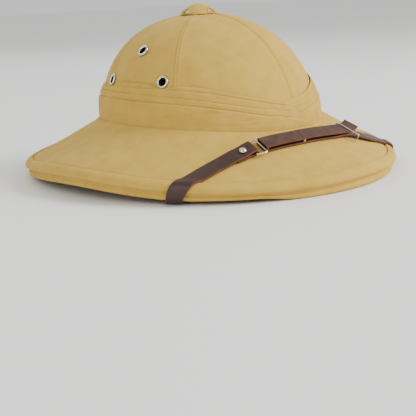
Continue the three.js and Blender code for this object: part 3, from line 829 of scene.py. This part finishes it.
# %% Puggaree: the folds
RIGHT_FOLDS = (
    {
        "edge": (
            (4, 21.4), (13, 24.2), (23, 27.1), (33, 29.7), (43, 32.6), (52, 33.9), (75, 34),
            (100, 34), (113, 33.2), (130, 31.8), (180, 31.8),
        ),
        "step": 0.65,
    },
    {
        "edge": (
            (4, 18.6), (13, 21), (23, 23.9), (33, 26.6), (43, 29), (52, 30.2), (75, 30.6),
            (100, 30.6), (130, 28.8), (180, 28.8),
        ),
        "step": 0.6,
    },
    {
        "edge": (
            (-4, 11.6), (5, 14.6), (15, 17.3), (24, 18.8), (33, 20.7), (43, 22.6), (64, 24.9),
            (100, 26), (180, 25.6),
        ),
        "step": 0.6,
    },
    {
        "edge": (
            (-30, -3), (-24, -1.1), (-11, 3.8), (0, 7.5), (8, 10.4), (22, 13.3), (33, 16.1),
            (43, 18), (57, 19.6), (78, 20.4), (180, 20.6),
        ),
        "step": 0.85,
    },
)
LEFT_FOLDS = (
    {
        "edge": (
            (-13, 20.5), (-5, 23.2), (10, 26.2), (27, 30.6), (45, 33.4), (75, 34), (100, 34),
            (113, 33.2), (130, 31.8), (180, 31.8),
        ),
        "step": 0.6,
    },
    {
        "edge": (
            (-13, 16), (-5, 18.9), (10, 21.6), (20, 24.4), (27, 26.8), (45, 29.8), (75, 30.6),
            (100, 30.6), (130, 28.8), (180, 28.8),
        ),
        "step": 0.6,
    },
    {
        "edge": (
            (-13, 12), (0, 16.2), (10, 18.6), (20, 21), (32, 24.2), (60, 26), (100, 26),
            (180, 25.6),
        ),
        "step": 0.6,
    },
    {
        "edge": (
            (-13, 9), (4, 12.6), (12, 14.6), (22, 16.4), (38, 18.8), (57, 20), (78, 20.4),
            (180, 20.6),
        ),
        "step": 0.75,
    },
)
LEADING_EDGE = (
    (-2, -4.6), (8, -4.6), (12, -3.6), (15, -0.5), (18, 2.5), (21, 5.2), (24, 8.5), (30, 14), (40, 22),
)
BAND_BASE = {"front": 0.1, "side": 1.6}
NOSE = 0.6  # mm over which a fold's edge rounds over
GROOVE = {"deep": 0.85, "above": 0.45, "wide": 0.42}  # the shaded line over a fold's edge


def fold_step(below):
    """1 well below a fold's edge, 0 above it, with a round nose and a thin shaded groove."""
    nose = np.clip(below / NOSE, 0, 1)
    rounded = np.sqrt(np.clip(1 - (1 - nose) ** 2, 0, 1))
    groove = GROOVE["deep"] * np.exp(-(((below + GROOVE["above"]) / GROOVE["wide"]) ** 2))
    return rounded - groove


def layered(folds, degrees, height):
    """How far the pleats stand out over the crown, in mm, from their own base."""
    stand = np.zeros(np.broadcast(degrees, height).shape)
    edges = [blend_curve(fold["edge"], degrees) for fold in folds] + [np.full_like(degrees, 0)]
    for fold, edge, lower in zip(folds, edges, edges[1:]):
        below = edge - height
        lean = 0.35 * np.clip(below / np.maximum(edge - lower, 2), 0, 1)
        within = np.clip((height - lower) / 0.5, 0, 1)
        stand += fold["step"] * fold_step(below) - lean * within * (below > 0)
    return stand


print("right folds:", len(RIGHT_FOLDS), "left folds:", len(LEFT_FOLDS))

# %% [markdown]
# The two sets are joined by taking whichever lies further out, with the set from the right
# masked by its leading edge, where the scarf was turned in. Soft dents are added one by one where
# the lowest, widest fold is slack, because loose cloth between stitches never lies dead flat.

# %% Puggaree: the mesh
DENTS = (
    {"at": (47, 14.8), "size": (9, 1.5), "tilt": -0.06, "deep": 0.45},
    {"at": (30, 9.6), "size": (6, 1.1), "tilt": -0.12, "deep": 0.4},
    {"at": (27, 6.6), "size": (7, 1.2), "tilt": -0.1, "deep": 0.35},
    {"at": (40, 5.2), "size": (10, 1.6), "tilt": -0.03, "deep": 0.3},
    {"at": (13, 6.8), "size": (5, 1.1), "tilt": -0.2, "deep": 0.25},
    {"at": (70, 8), "size": (12, 2.2), "tilt": -0.02, "deep": 0.3},
    {"at": (95, 12), "size": (14, 2), "tilt": 0.02, "deep": 0.3},
    {"at": (-40, 9), "size": (8, 1.6), "tilt": 0.1, "deep": 0.35},
    {"at": (-62, 13), "size": (10, 1.6), "tilt": 0.05, "deep": 0.35},
    {"at": (-95, 8), "size": (14, 2.2), "tilt": 0, "deep": 0.3},
    {"at": (150, 10), "size": (14, 2), "tilt": 0.03, "deep": 0.3},
    {"at": (-140, 12), "size": (12, 2), "tilt": -0.04, "deep": 0.3},
)
MM_PER_DEGREE = 1.72


def band_stand(degrees, height):
    """How far the whole band stands out over the crown at each place, in mm."""
    side = np.sin(np.radians(degrees)) ** 2
    base = BAND_BASE["front"] + (BAND_BASE["side"] - BAND_BASE["front"]) * side
    over = layered(RIGHT_FOLDS, degrees, height)
    beneath = layered(LEFT_FOLDS, -degrees, height)
    lead = blend_curve(LEADING_EDGE, height)
    wide_fold = blend_curve(RIGHT_FOLDS[3]["edge"], degrees) - height
    past_lead = np.maximum((degrees - lead) * MM_PER_DEGREE, wide_fold)
    overlap = 0.45 * (1 - smooth((degrees - 10) / 25)) * np.clip(past_lead / 1.2, 0, 1)
    front = np.abs(degrees) < 60
    shown = np.clip(past_lead / NOSE, 0, 1)
    covered = (base + over + overlap) * np.sqrt(np.clip(1 - (1 - shown) ** 2, 0, 1))
    under = np.maximum(base + beneath - 0.25 * (past_lead > 0), covered)
    left = np.where(front, under, base + beneath)
    stand = np.where(degrees > 13, base + over + overlap, left)
    stand = np.where(degrees < -60, base + beneath, stand)
    for dent in DENTS:
        away = (degrees - dent["at"][0]) * MM_PER_DEGREE
        rise = height - dent["at"][1] - dent["tilt"] * away
        long, wide = dent["size"]
        stand = stand - dent["deep"] * np.exp(-((away / long) ** 2) - (rise / wide) ** 2)
    return stand


def band_top(degrees):
    """The upper edge: the higher of the two sets, kept clear of the low eyelets."""
    over = np.where(degrees > 4, blend_curve(RIGHT_FOLDS[0]["edge"], degrees), 0)
    beneath = np.where(degrees < 13, blend_curve(LEFT_FOLDS[0]["edge"], -degrees), 0)
    edge = np.maximum(over, beneath)
    for low_eyelet, dip in ((71, 2.6), (110.8, 3.2)):
        edge = edge - dip * np.exp(-(((np.abs(degrees) - low_eyelet) / 6) ** 2))
    return edge


coarse = np.arange(-180, -36, 0.6)
fine = np.arange(-36, 36, 0.25)
band_turns = np.concatenate([coarse, fine, np.arange(36, 180, 0.6)])
share = np.concatenate([[0, 0.004], np.linspace(0.012, 0.985, 104), [0.99, 0.995, 1]])
tops = band_top(band_turns)
heights = share[:, None] * (tops + 0.3)
stand = band_stand(band_turns[None] + 0 * heights, heights)
foot_round = 1.3 * (1 - np.sqrt(np.clip(1 - (1 - np.clip(heights / 1.4, 0, 1)) ** 2, 0, 1)))
top_round = smooth((tops + 0.3 - heights) / 0.9)
slack = cloth_ripple(band_turns[None] * MM_PER_DEGREE, heights * 2.2, 0.18)
stand = np.maximum(0.5, (stand - foot_round + slack * smooth(heights / 3)) * top_round + 0.3)
angle = np.radians(band_turns)[None] + 0 * heights
height = join_height(angle) + 0.5 + heights
outer = dome_point(angle, climb_to(height, angle))
outward = np.stack([-np.sin(angle), -np.cos(angle), 0 * angle], -1)
outer = outer + outward * stand[..., None]
outer[..., 2] = height
inner_shares = np.array([0.98, 0.66, 0.33, 0.1])
inner_height = join_height(angle[:4]) + 0.5 + np.maximum(inner_shares[:, None] * tops, 2.9)
inner = dome_point(angle[:4], climb_to(inner_height, angle[:4]))
inner = inner + outward[:4] * 0.35
inner[..., 2] = inner_height
band_grid = np.concatenate([outer, inner])
band_mesh = grid_mesh("pleated_band", band_grid, lay_cloth(band_grid, True, True), sharp=70)
band = place("pleated_band", band_mesh, ["puggaree"])

# %% [markdown]
# ## Vent cap
# A domed button of fibre covered with drill closes the hole on top and lets warm air out
# through four openings under its edge. Between them the cover forms four petals with turned
# edges. The dome is spun, the openings are cut with tent-shaped tools, and a thin roll of
# cloth is laid round every opening. Inside, the fibre's brown is darkened to a near black,
# which paints the shade that fills the openings.

# %% Vent cap
CAP_CENTRE = np.array([0, CROWN["axis"] + CROWN["lean"], cap_low.z / MM])
CAP_RADIUS = (cap_high.x - cap_low.x) / 2 / MM
CAP_HEIGHT = (cap_high.z - cap_low.z) / MM
CAP_WALL = 1.5
VENT = {"half": 5.6, "sill": 0.6, "peak": 5.0}
ROUND_OUT, ROUND_UP = 1.45, 1.6  # how full the cap is: 2 and 2 would be a ball


def cap_curve(radius, height, rows):
    climb = np.linspace(0, 0.995, rows) * math.pi / 2
    return np.stack(
        [radius * np.cos(climb) ** (2 / ROUND_OUT), height * np.sin(climb) ** (2 / ROUND_UP)], -1
    )


def cap_reach(height):
    """The cap's outside radius at a height over its foot."""
    return CAP_RADIUS * (1 - (height / CAP_HEIGHT) ** ROUND_UP) ** (1 / ROUND_OUT)


cap_outer = cap_curve(CAP_RADIUS, CAP_HEIGHT, 28)
cap_inner = cap_curve(CAP_RADIUS - CAP_WALL, CAP_HEIGHT - CAP_WALL, 16)[::-1]
cap_profile = np.concatenate([cap_outer, [[0.01, CAP_HEIGHT]], [[0.01, CAP_HEIGHT - CAP_WALL]], cap_inner])
turn = np.linspace(0, math.tau, 96, endpoint=False)
cap_grid = np.stack(
    [
        cap_profile[:, :1] * np.cos(turn),
        cap_profile[:, :1] * np.sin(turn),
        np.repeat(cap_profile[:, 1:], len(turn), 1),
    ],
    -1,
) + CAP_CENTRE
cap_cloth = close_up(cap_grid[..., :2])
# The cap's inner faces take the near black brown: painted shade seen through the vents.
is_shaded_lining = (np.arange(len(cap_grid)) > len(cap_outer)).astype(int)[:, None]
cap_mesh = grid_mesh("cap_cover", cap_grid, cap_cloth, finishes=(khaki, fibre_and_vent_shade), parts=is_shaded_lining)


def vent_outline(count):
    """Points of a tent shape with rounded corners, as (sideways, up) rows."""
    half, sill, peak = VENT["half"], VENT["sill"], VENT["peak"]
    tent = np.array([(-half, sill), (0, sill), (half, sill), (0.5, peak), (-0.5, peak)])
    rounded = plane_corners(tent, 3, True)
    return rounded[:: max(1, len(rounded) // count)]


def vent_ring(facing, outline, depth):
    """The opening's outline, moved out from the cap's axis and turned to face one way."""
    toward = np.array([math.cos(facing), math.sin(facing), 0])
    beside = np.array([-math.sin(facing), math.cos(facing), 0])
    return CAP_CENTRE + depth * toward + outline[:, :1] * beside + outline[:, 1:] * (0, 0, 1)


def vent_tool(facing):
    outline = vent_outline(40)
    depths = (CAP_RADIUS * 0.35, CAP_RADIUS * 1.5)
    grid = np.stack([vent_ring(facing, outline, depth) for depth in depths])
    tool_cloth = np.zeros((2, len(outline) + 1, 2))
    mesh = grid_mesh("vent_tool", grid, tool_cloth, True, False, (fibre_and_vent_shade,))
    tool = bpy.data.objects.new("vent_tool", mesh)
    bpy.context.scene.collection.objects.link(tool)
    return tool


VENT_TURNS = [math.radians(angle) for angle in (0, 90, 180, 270)]
cap_mesh = cut_away(cap_mesh, [vent_tool(facing) for facing in VENT_TURNS])
cap = place("cap_cover", cap_mesh, ["vent_cap"])

# %% [markdown]
# The turned edges are tubes swept round each opening. A sweep needs a path and a frame at each
# of its points; here the frame comes from the path's direction and the way out of the cap.

# %% Turned edges of the vents
def sweep(name, path, outward, section, closed, finishes, cloth_scale=1.0, parts=None, sharp=40):
    """A tube with any section, as (along the side, outwards) rows, swept along a path in mm."""
    path, outward = np.asarray(path, float), np.asarray(outward, float)
    ahead = np.roll(path, -1, 0) - np.roll(path, 1, 0)
    if not closed:
        ahead[0], ahead[-1] = path[1] - path[0], path[-1] - path[-2]
    side = unit(np.cross(ahead, outward))
    up = unit(np.cross(side, ahead))
    section = np.asarray(section, float)
    grid = path[:, None] + section[None, :, :1] * side[:, None] + section[None, :, 1:] * up[:, None]
    cloth = lay_cloth(grid, True, closed) * cloth_scale
    return grid_mesh(name, grid, cloth, True, closed, finishes, parts, sharp)


def round_section(radius, count=12, flat=1.0):
    turn = np.linspace(0, math.tau, count, endpoint=False)
    return np.stack([radius * np.cos(turn), radius * flat * np.sin(turn)], -1)


def join_meshes(name, meshes):
    """Several meshes with the same finishes as one."""
    work = [bpy.data.objects.new(name, mesh) for mesh in meshes]
    for item in work:
        bpy.context.scene.collection.objects.link(item)
    with bpy.context.temp_override(active_object=work[0], selected_editable_objects=work):
        bpy.ops.object.join()
    mesh = work[0].data
    bpy.data.objects.remove(work[0])
    return mesh


edge_rolls = []
for facing in VENT_TURNS:
    outline = vent_outline(40)
    depth = np.sqrt(cap_reach(outline[:, 1]) ** 2 - outline[:, 0] ** 2)
    path = vent_ring(facing, outline, depth[:, None])
    outward = unit(path - CAP_CENTRE + (0, 0, 3))
    edge_rolls.append(sweep("vent_roll", path, outward, round_section(0.6), True, (khaki,)))
vent_rolls = place("vent_rolls", join_meshes("vent_rolls", edge_rolls))

# %% [markdown]
# ## Cap post
# The cap is carried by a post that passes through the vent hole and ends in a bar across the
# underside of the crown. It hides under the cap; a plain turned post and a rounded bar do.

# %% Cap post
ceiling = APEX - CROWN["wall"] - 1.2
post_profile = (
    (0.01, ceiling - 1.5),
    (1.8, ceiling - 1.5),
    (2.0, ceiling - 1.3),
    (2.0, CAP_CENTRE[2] + CAP_HEIGHT - CAP_WALL - 0.8),
    (1.8, CAP_CENTRE[2] + CAP_HEIGHT - CAP_WALL - 0.6),
    (0.01, CAP_CENTRE[2] + CAP_HEIGHT - CAP_WALL - 0.6),
)
post_foot = (CAP_CENTRE[0], CAP_CENTRE[1], 0)
post_mesh = lathe("cap_post_turned", post_profile, 32, nickel, post_foot, (0, 0, 1))
bar_path = [(0, CAP_CENTRE[1] + y, ceiling - 1.2) for y in (-13, -12.8, -6, 0, 6, 12.8, 13)]
bar_section = plane_corners(np.array([(-4, -1), (4, -1), (4, 1), (-4, 1)], float), 2, True)
bar_mesh = sweep("bar", bar_path, [(0, 0, 1)] * 7, bar_section, False, (nickel,))
post_and_bar = join_meshes("cap_post_turned", [post_mesh, bar_mesh])
post = place("cap_post_turned", post_and_bar, ["cap_post"])

# %% [markdown]
# ## Eyelets
# An eyelet is a short tube of plated brass whose flange is rolled over on the outside, with a
# washer clenched on the inside. Its rolled lip catches a bright ring of light round a dark
# hole. A lathe profile with a round lip is all that it needs.

# %% Eyelets
bore, flange = EYELET["bore"], EYELET["flange"]
lip = [
    ((flange + bore) / 2 + (flange - bore) / 2 * math.cos(a), 0.35 + 1.25 * math.sin(a))
    for a in np.linspace(0, math.pi, 14)
]
eyelet_profile = [
    (bore, -4.7),
    (5, -4.7),
    (5, -4.1),
    (4, -4.0),
    (4, 0.2),
    (flange - 0.1, 0.2),
    *lip,
]
for name, spot, normal in eyelets:
    mesh = lathe(f"rolled_eyelet_{name}", eyelet_profile, 48, nickel, spot, normal)
    place(f"rolled_eyelet_{name}", mesh, [f"eyelet_{name}"])

# %% [markdown]
# ## Where the chin strap runs
# The strap follows the hat: from a rivet inside the crown, out under the brim, up round the
# rim and over the brim's top. So its route is drawn on the hat's own outer line. Each row of a
# table says how far round the hat, how far past the rim's seam, and how high the leather rides
# over the surface. A smooth curve runs through the rows.

# %% Where the chin strap runs
STRAP_WIDTH, STRAP_THICK = 13.2, 1.6
RIGHT_STRAP = (
    (32.6, -37.9, 4.3),
    (33.9, -36.7, 4),
    (35.2, -35.4, 3.1),
    (36.8, -32.9, 2.6),
    (38.5, -30.6, 2.45),
    (39.8, -28.8, 2.35),
    (41.6, -26.3, 1.4),
    (44.4, -21.3, 0.9),
    (47.2, -15.4, 0.8),
    (49.6, -9.3, 1),
    (52, -2.6, 1),
    (53.6, 2.2, 1),
    (55.5, 9, 0.7),
    (56.5, 13.5, 0.7),
    (57.1, 20.2, 0.6),
    (57.6, 23.6, 0.8),
    (60, 32, 0.8),
    (73, 84, 1.2),
    (76, 96, 1.4),
    (77.5, 102, 0.8),
    (78, 108, 0.5),
    (78, 116, 0.5),
)
RIGHT_FOLD = (
    (39.6, -29.1, 0.35),
    (36.8, -32.9, 0.35),
    (35.2, -35.4, 0.35),
    (33.9, -36.7, 0.35),
    (32.6, -37.9, 0.35),
)
LEFT_STRAP = (
    (28.3, -41.4, 0.35),
    (26.9, -42.4, 0.35),
    (25.5, -43.3, 0.35),
    (21, -45.4, 0.4),
    (13, -47.4, 0.4),
    (4, -48.3, 0.4),
    (-5, -46.8, 0.4),
    (-10, -45.1, 0.6),
    (-14, -43.4, 1.1),
    (-18, -41.2, 1.8),
    (-20, -40, 1.9),
    (-22, -38.2, 1.9),
    (-25, -33.4, 1.8),
    (-28, -27.4, 1.6),
    (-31, -22.2, 1.3),
    (-34, -18.2, 1),
    (-37, -14.2, 0.9),
    (-40, -7.6, 0.9),
    (-42.6, 0.6, 1),
    (-45.2, 12, 0.7),
    (-45.9, 20.2, 0.6),
    (-46.4, 23.6, 0.8),
    (-49.8, 32, 0.8),
    (-69.5, 84, 1),
    (-74, 96, 1.4),
    (-76.5, 102, 0.8),
    (-78, 108, 0.5),
    (-78, 116, 0.5),
)
LEFT_TOP = (
    (-24.3, -38.4, 8.2),
    (-22.4, -38.9, 6.4),
    (-20, -40, 5.2),
    (-18, -41.2, 4.7),
    (-14, -43.4, 4.3),
    (-10, -45.1, 4.2),
    (-5, -46.8, 4.2),
    (4, -48.3, 4.2),
    (13, -47.4, 4.2),
    (21, -45.4, 4.2),
    (25.5, -43.3, 4.2),
    (26.9, -42.4, 4.3),
    (28.3, -41.4, 4.3),
)


def cover_line(angle):
    """Corners of the hat's outer line at each angle, from the join over the rim and back inside."""
    foot = dome_point(angle, 0 * angle, CROWN["wall"] + 0.4)
    foot[..., 2] = join_height(angle) - 1.4
    rim_corners = (
        (0, 14.5), (1.0, 15.1), (3.6, 14.3), (6.2, 12.3), (7.0, 9.8), (3.9, 1.4), (1.8, 0), (-1.4, 0),
    )
    line = [
        join_point(angle),
        *(rim_point(angle, out, up) for out, up in rim_corners),
        foot,
        *(dome_point(angle, 0 * angle + climb, CROWN["wall"]) for climb in (0.165, 0.26)),
    ]
    return np.stack(line)


def cover_point(angle, past):
    """The place on that line at a distance past the rim's seam."""
    angle, past = np.broadcast_arrays(np.asarray(angle, float), np.asarray(past, float))
    line = cover_line(angle)
    lengths = np.linalg.norm(np.diff(line, axis=0), axis=-1)
    reach = past + lengths[0]
    starts = np.cumsum(lengths, 0) - lengths
    k = np.clip((reach[None] >= starts).sum(0) - 1, 0, len(lengths) - 1)[None]
    here = np.take_along_axis(line, k[..., None], 0)[0]
    there = np.take_along_axis(line, k[..., None] + 1, 0)[0]
    left = reach - np.take_along_axis(starts, k, 0)[0]
    return here + unit(there - here) * left[..., None]


def cover_frame(angle, past, reach=2.4):
    """The place, its outward normal, and its steps round the hat and outwards."""
    around = (cover_point(angle + 0.01, past) - cover_point(angle - 0.01, past)) / 0.02
    outward = unit(cover_point(angle, past + reach) - cover_point(angle, past - reach))
    return cover_point(angle, past), unit(np.cross(around, outward)), around, outward


print("strap stations:", len(RIGHT_STRAP), len(LEFT_STRAP))

# %% [markdown]
# ## Chin strap
# Each half is one ribbon of leather, folded back on itself round the front loop. Its section
# is a flat oval with slightly crowned faces and rounded cut edges. Rings of that section are
# laid along the route every millimetre, the ribbon's own stiffness is imitated by averaging
# neighbouring rings, and the turn round the loop is an arc between the last two rings. Face,
# edge and back take their own finishes by their place in the section.

# %% Chin strap
FACE, EDGE, BACK = 0, 1, 2
half = STRAP_WIDTH / 2
across_face = np.linspace(-1, 1, 15)
face_row = [(x * (half - 0.45), STRAP_THICK + 0.1 * (1 - x**2), FACE) for x in across_face]
back_row = [(-x * (half - 0.45), 0.0, BACK) for x in across_face[::2]]
edge_corners = ((half - 0.12, STRAP_THICK - 0.12), (half, 0.95), (half, 0.55), (half - 0.14, 0.1))
right_edge = [(x, up, EDGE) for x, up in edge_corners]
left_edge = [(-x, up, EDGE) for x, up in edge_corners[::-1]]
SECTION = np.array(face_row + right_edge + back_row + left_edge)
section_parts = SECTION[:, 2].astype(int)
section_parts[len(face_row) - 1] = EDGE


def route(table, spacing=1.0):
    """A smooth run of stations through a table, about one each millimetre."""
    rows = np.array(table, float)
    centres = cover_point(np.radians(rows[:, 0]), rows[:, 1])
    measured = np.concatenate([[0], np.cumsum(np.linalg.norm(np.diff(centres, axis=0), axis=1))])
    at = np.linspace(0, measured[-1], int(measured[-1] / spacing) + 2)
    return np.stack([blend_curve(np.stack([measured, rows[:, i]], 1), at) for i in range(3)], 1)


def ribbon(table, flipped):
    """Rings of the strap's section along a route. A flipped run has its face down."""
    turn, past, lift = route(table).T
    turn = np.radians(turn)
    centre, normal, around, outward = cover_frame(turn, past)
    heading = np.gradient(centre, axis=0)
    across = unit(np.cross(normal, heading)) * (1 if not flipped else -1)
    offset = across[:, None] * SECTION[None, :, :1]
    skew = (around * outward).sum(1)[:, None]
    scale = (around * around).sum(1)[:, None] - skew**2
    along_oval = np.einsum("rsi,ri->rs", offset, around)
    turned = (along_oval - skew * np.einsum("rsi,ri->rs", offset, outward)) / scale
    rest = offset - around[:, None] * turned[..., None]
    moved = np.einsum("rsi,ri->rs", rest, outward)
    spot, stand, _, _ = cover_frame(turn[:, None] + turned, past[:, None] + moved)
    rise = SECTION[None, :, 1] if not flipped else STRAP_THICK - SECTION[None, :, 1]
    return spot + stand * (lift[:, None] + rise)[..., None]


def stiffen(rings, times=4):
    """Averages each ring with its neighbours, so the ribbon bends in curves and not in corners."""
    for _ in range(times):
        middle = (rings[:-2] + 2 * rings[1:-1] + rings[2:]) / 4
        rings = np.concatenate([rings[:1], middle, rings[-1:]])
    return rings


def turn_round(last, first, steps=12):
    """The ribbon's half turn from the last ring of one run to the first ring of the next."""
    start, end = last.mean(0), first.mean(0)
    middle, spoke = (start + end) / 2, (start - end) / 2
    axis = Vector(unit(last[len(face_row) - 1] - last[0]))
    rings = []
    for k in range(1, steps):
        turn = np.array(Matrix.Rotation(math.pi * k / steps, 3, axis))
        rings.append((last - start) @ turn.T + middle + turn @ spoke)
    return np.stack(rings)


def strap_mesh(name, under_run, over_run):
    first, second = stiffen(ribbon(under_run, True)), stiffen(ribbon(over_run, False))
    rings = np.concatenate([first, turn_round(first[-1], second[0]), second])
    cloth = lay_cloth(rings, True, False)
    return grid_mesh(name, rings, cloth, True, False, STRAP_FINISHES, section_parts[None], 50)


for side, under_run, over_run in (("right", RIGHT_FOLD, RIGHT_STRAP), ("left", LEFT_TOP, LEFT_STRAP)):
    name = f"chin_strap_{side}"
    place(name, strap_mesh(name, under_run, over_run), [f"strap_{side}"])

# %% [markdown]
# ## Loop, slide, stud and rivets
# The two halves meet in a stamped loop, and the left half's tab is held by a thin wire slide.
# A wire is a closed path with a round section. The domed stud, the small pin between the
# layers and the two hidden rivets are turned, so they come off the same lathe as the eyelets.

# %% Loop and slide
def wire_path(length, width, corner, per_corner=8):
    """A rectangle with round corners, in its own plane."""
    points = []
    for quarter, (sx, sy) in enumerate(((1, 1), (-1, 1), (-1, -1), (1, -1))):
        centre = np.array([sx * (length / 2 - corner), sy * (width / 2 - corner)])
        for k in range(per_corner + 1):
            angle = math.pi / 2 * (quarter + k / per_corner)
            points.append(centre + corner * np.array([math.cos(angle), math.sin(angle)]))
    return np.array(points)


def wire(name, centre, x_axis, y_axis, size, section, corner):
    z_axis = unit(np.cross(x_axis, y_axis))
    y_axis = np.cross(z_axis, x_axis)
    flat = wire_path(*size, corner)
    path = centre + flat[:, :1] * x_axis + flat[:, 1:] * y_axis
    return sweep(name, path, np.repeat(z_axis[None], len(path), 0), section, True, (nickel,))


def raised(turn, past, lift):
    spot, normal, _, _ = cover_frame(np.radians(turn), np.float64(past))
    return spot + normal * lift, normal


bar_lift = (RIGHT_STRAP[0][2] + STRAP_THICK + RIGHT_FOLD[-1][2]) / 2
bar_right, bar_normal = raised(*RIGHT_STRAP[0][:2], bar_lift)
bar_left, _ = raised(*LEFT_STRAP[0][:2], bar_lift)
along = unit(bar_left - bar_right)
flat_wire = plane_corners(np.array([(-0.8, -0.7), (0.8, -0.7), (0.8, 0.7), (-0.8, 0.7)]), 2, True)
loop_size = (9.2, 17)
loop_centre = (bar_left + bar_right) / 2
loop_across = np.cross(bar_normal, along)
loop_mesh = wire("stamped_loop", loop_centre, along, loop_across, loop_size, flat_wire, 1.4)
place("stamped_loop", loop_mesh, ["front_loop"])

SLIDE = {"turn": -18.2, "past": -37.2, "low": 0.9, "high": 7.3, "wire": 0.5, "skew": 5, "length": 23}
slide_lift = (SLIDE["low"] + SLIDE["high"]) / 2
slide_centre, slide_normal = raised(SLIDE["turn"], SLIDE["past"], slide_lift)
before = cover_point(np.radians(-14), -43.4)
after = cover_point(np.radians(-22), -38.2)
slide_skew = Matrix.Rotation(math.radians(SLIDE["skew"]), 3, Vector(slide_normal))
slide_across = unit(np.cross(slide_normal, after - before)) @ np.array(slide_skew).T
slide_size = (SLIDE["length"], SLIDE["high"] - SLIDE["low"])
slide_wire = round_section(SLIDE["wire"])
slide_mesh = wire("wire_slide", slide_centre, slide_across, slide_normal, slide_size, slide_wire, 1.1)
place("wire_slide", slide_mesh, ["slide_loop"])

# %% Stud, pin and rivets
def dome_profile(stem, seat, head, rise, foot):
    """A stem with a domed head, as lathe rows."""
    climbs = np.linspace(0, 1.55, 12)
    crown_rows = [(head * math.cos(a), seat + 0.25 + rise * math.sin(a)) for a in climbs]
    shank = [(0.01, foot), (stem, foot), (stem, seat)]
    return [*shank, (head * 0.92, seat), (head, seat + 0.12), *crown_rows]


FIXINGS = (
    ("domed_stud", "strap_stud", 36.3, -33.6, dome_profile(0.9, 4.9, 3.0, 1.75, 0.35)),
    ("layer_rivet", "layer_pin", 9, -42.6, dome_profile(1.1, 3.3, 1.15, 0.3, 2.35)),
    ("strap_rivet_right", "strap_anchor_right", 78, 111.5, dome_profile(1.3, 2.4, 4, 1, -2.4)),
    ("strap_rivet_left", "strap_anchor_left", -78, 111.5, dome_profile(1.3, 2.4, 4, 1, -2.4)),
)
for name, node, turn, past, rows_of_stud in FIXINGS:
    spot, normal = raised(turn, past, 0)
    place(name, lathe(name, rows_of_stud, 40, nickel, spot, normal), [node])

# %% [markdown]
# ## Studio
# The hat rests by itself on a pale floor. A broad soft key stands over the front on the right
# of the view, weaker lights stand on its left and behind, and a pale surround lifts the
# shadows, which is how a catalogue studio shows cloth.

# %% Studio
def soft_light(name, spot, size, power, target=(0, 0, 0.07)):
    lamp = bpy.data.lights.new(name, "AREA")
    lamp.shape = "DISK"
    lamp.size = size
    lamp.energy = power
    holder = bpy.data.objects.new(name, lamp)
    holder.location = spot
    holder.rotation_euler = (Vector(target) - Vector(spot)).to_track_quat("-Z", "Y").to_euler()
    bpy.context.scene.collection.objects.link(holder)
    return holder


soft_light("key", (1.0, -1.45, 1.2), 1.1, 50)
soft_light("fill", (-1.7, -0.5, 0.9), 1.5, 8)
soft_light("back_wash", (0.6, 1.6, 1.5), 1.5, 10)

world = bpy.data.worlds.new("studio_surround")
world.use_nodes = True
backdrop = world.node_tree.nodes["Background"]
backdrop.inputs["Color"].default_value = linear("#ffffff")
backdrop.inputs["Strength"].default_value = 0.8
bpy.context.scene.world = world

floor_finish, _, floor_shader = new_finish("painted_floor")
floor_shader.inputs["Base Color"].default_value = linear("#f4f4f2")
floor_shader.inputs["Roughness"].default_value = 0.85
floor_mesh = bpy.data.meshes.new("floor")
FLOOR_REACH = 20  # metres from the middle to each side
floor_corners = [(x * FLOOR_REACH, y * FLOOR_REACH, 0) for x, y in ((-1, -1), (1, -1), (1, 1), (-1, 1))]
floor_mesh.from_pydata(floor_corners, [], [(0, 1, 2, 3)])
floor_mesh.materials.append(floor_finish)
floor = bpy.data.objects.new("floor", floor_mesh)
floor.location.z = cad_box[0][2] - 0.0001
bpy.context.scene.collection.objects.link(floor)
print("lights:", [item.name for item in bpy.data.lights])
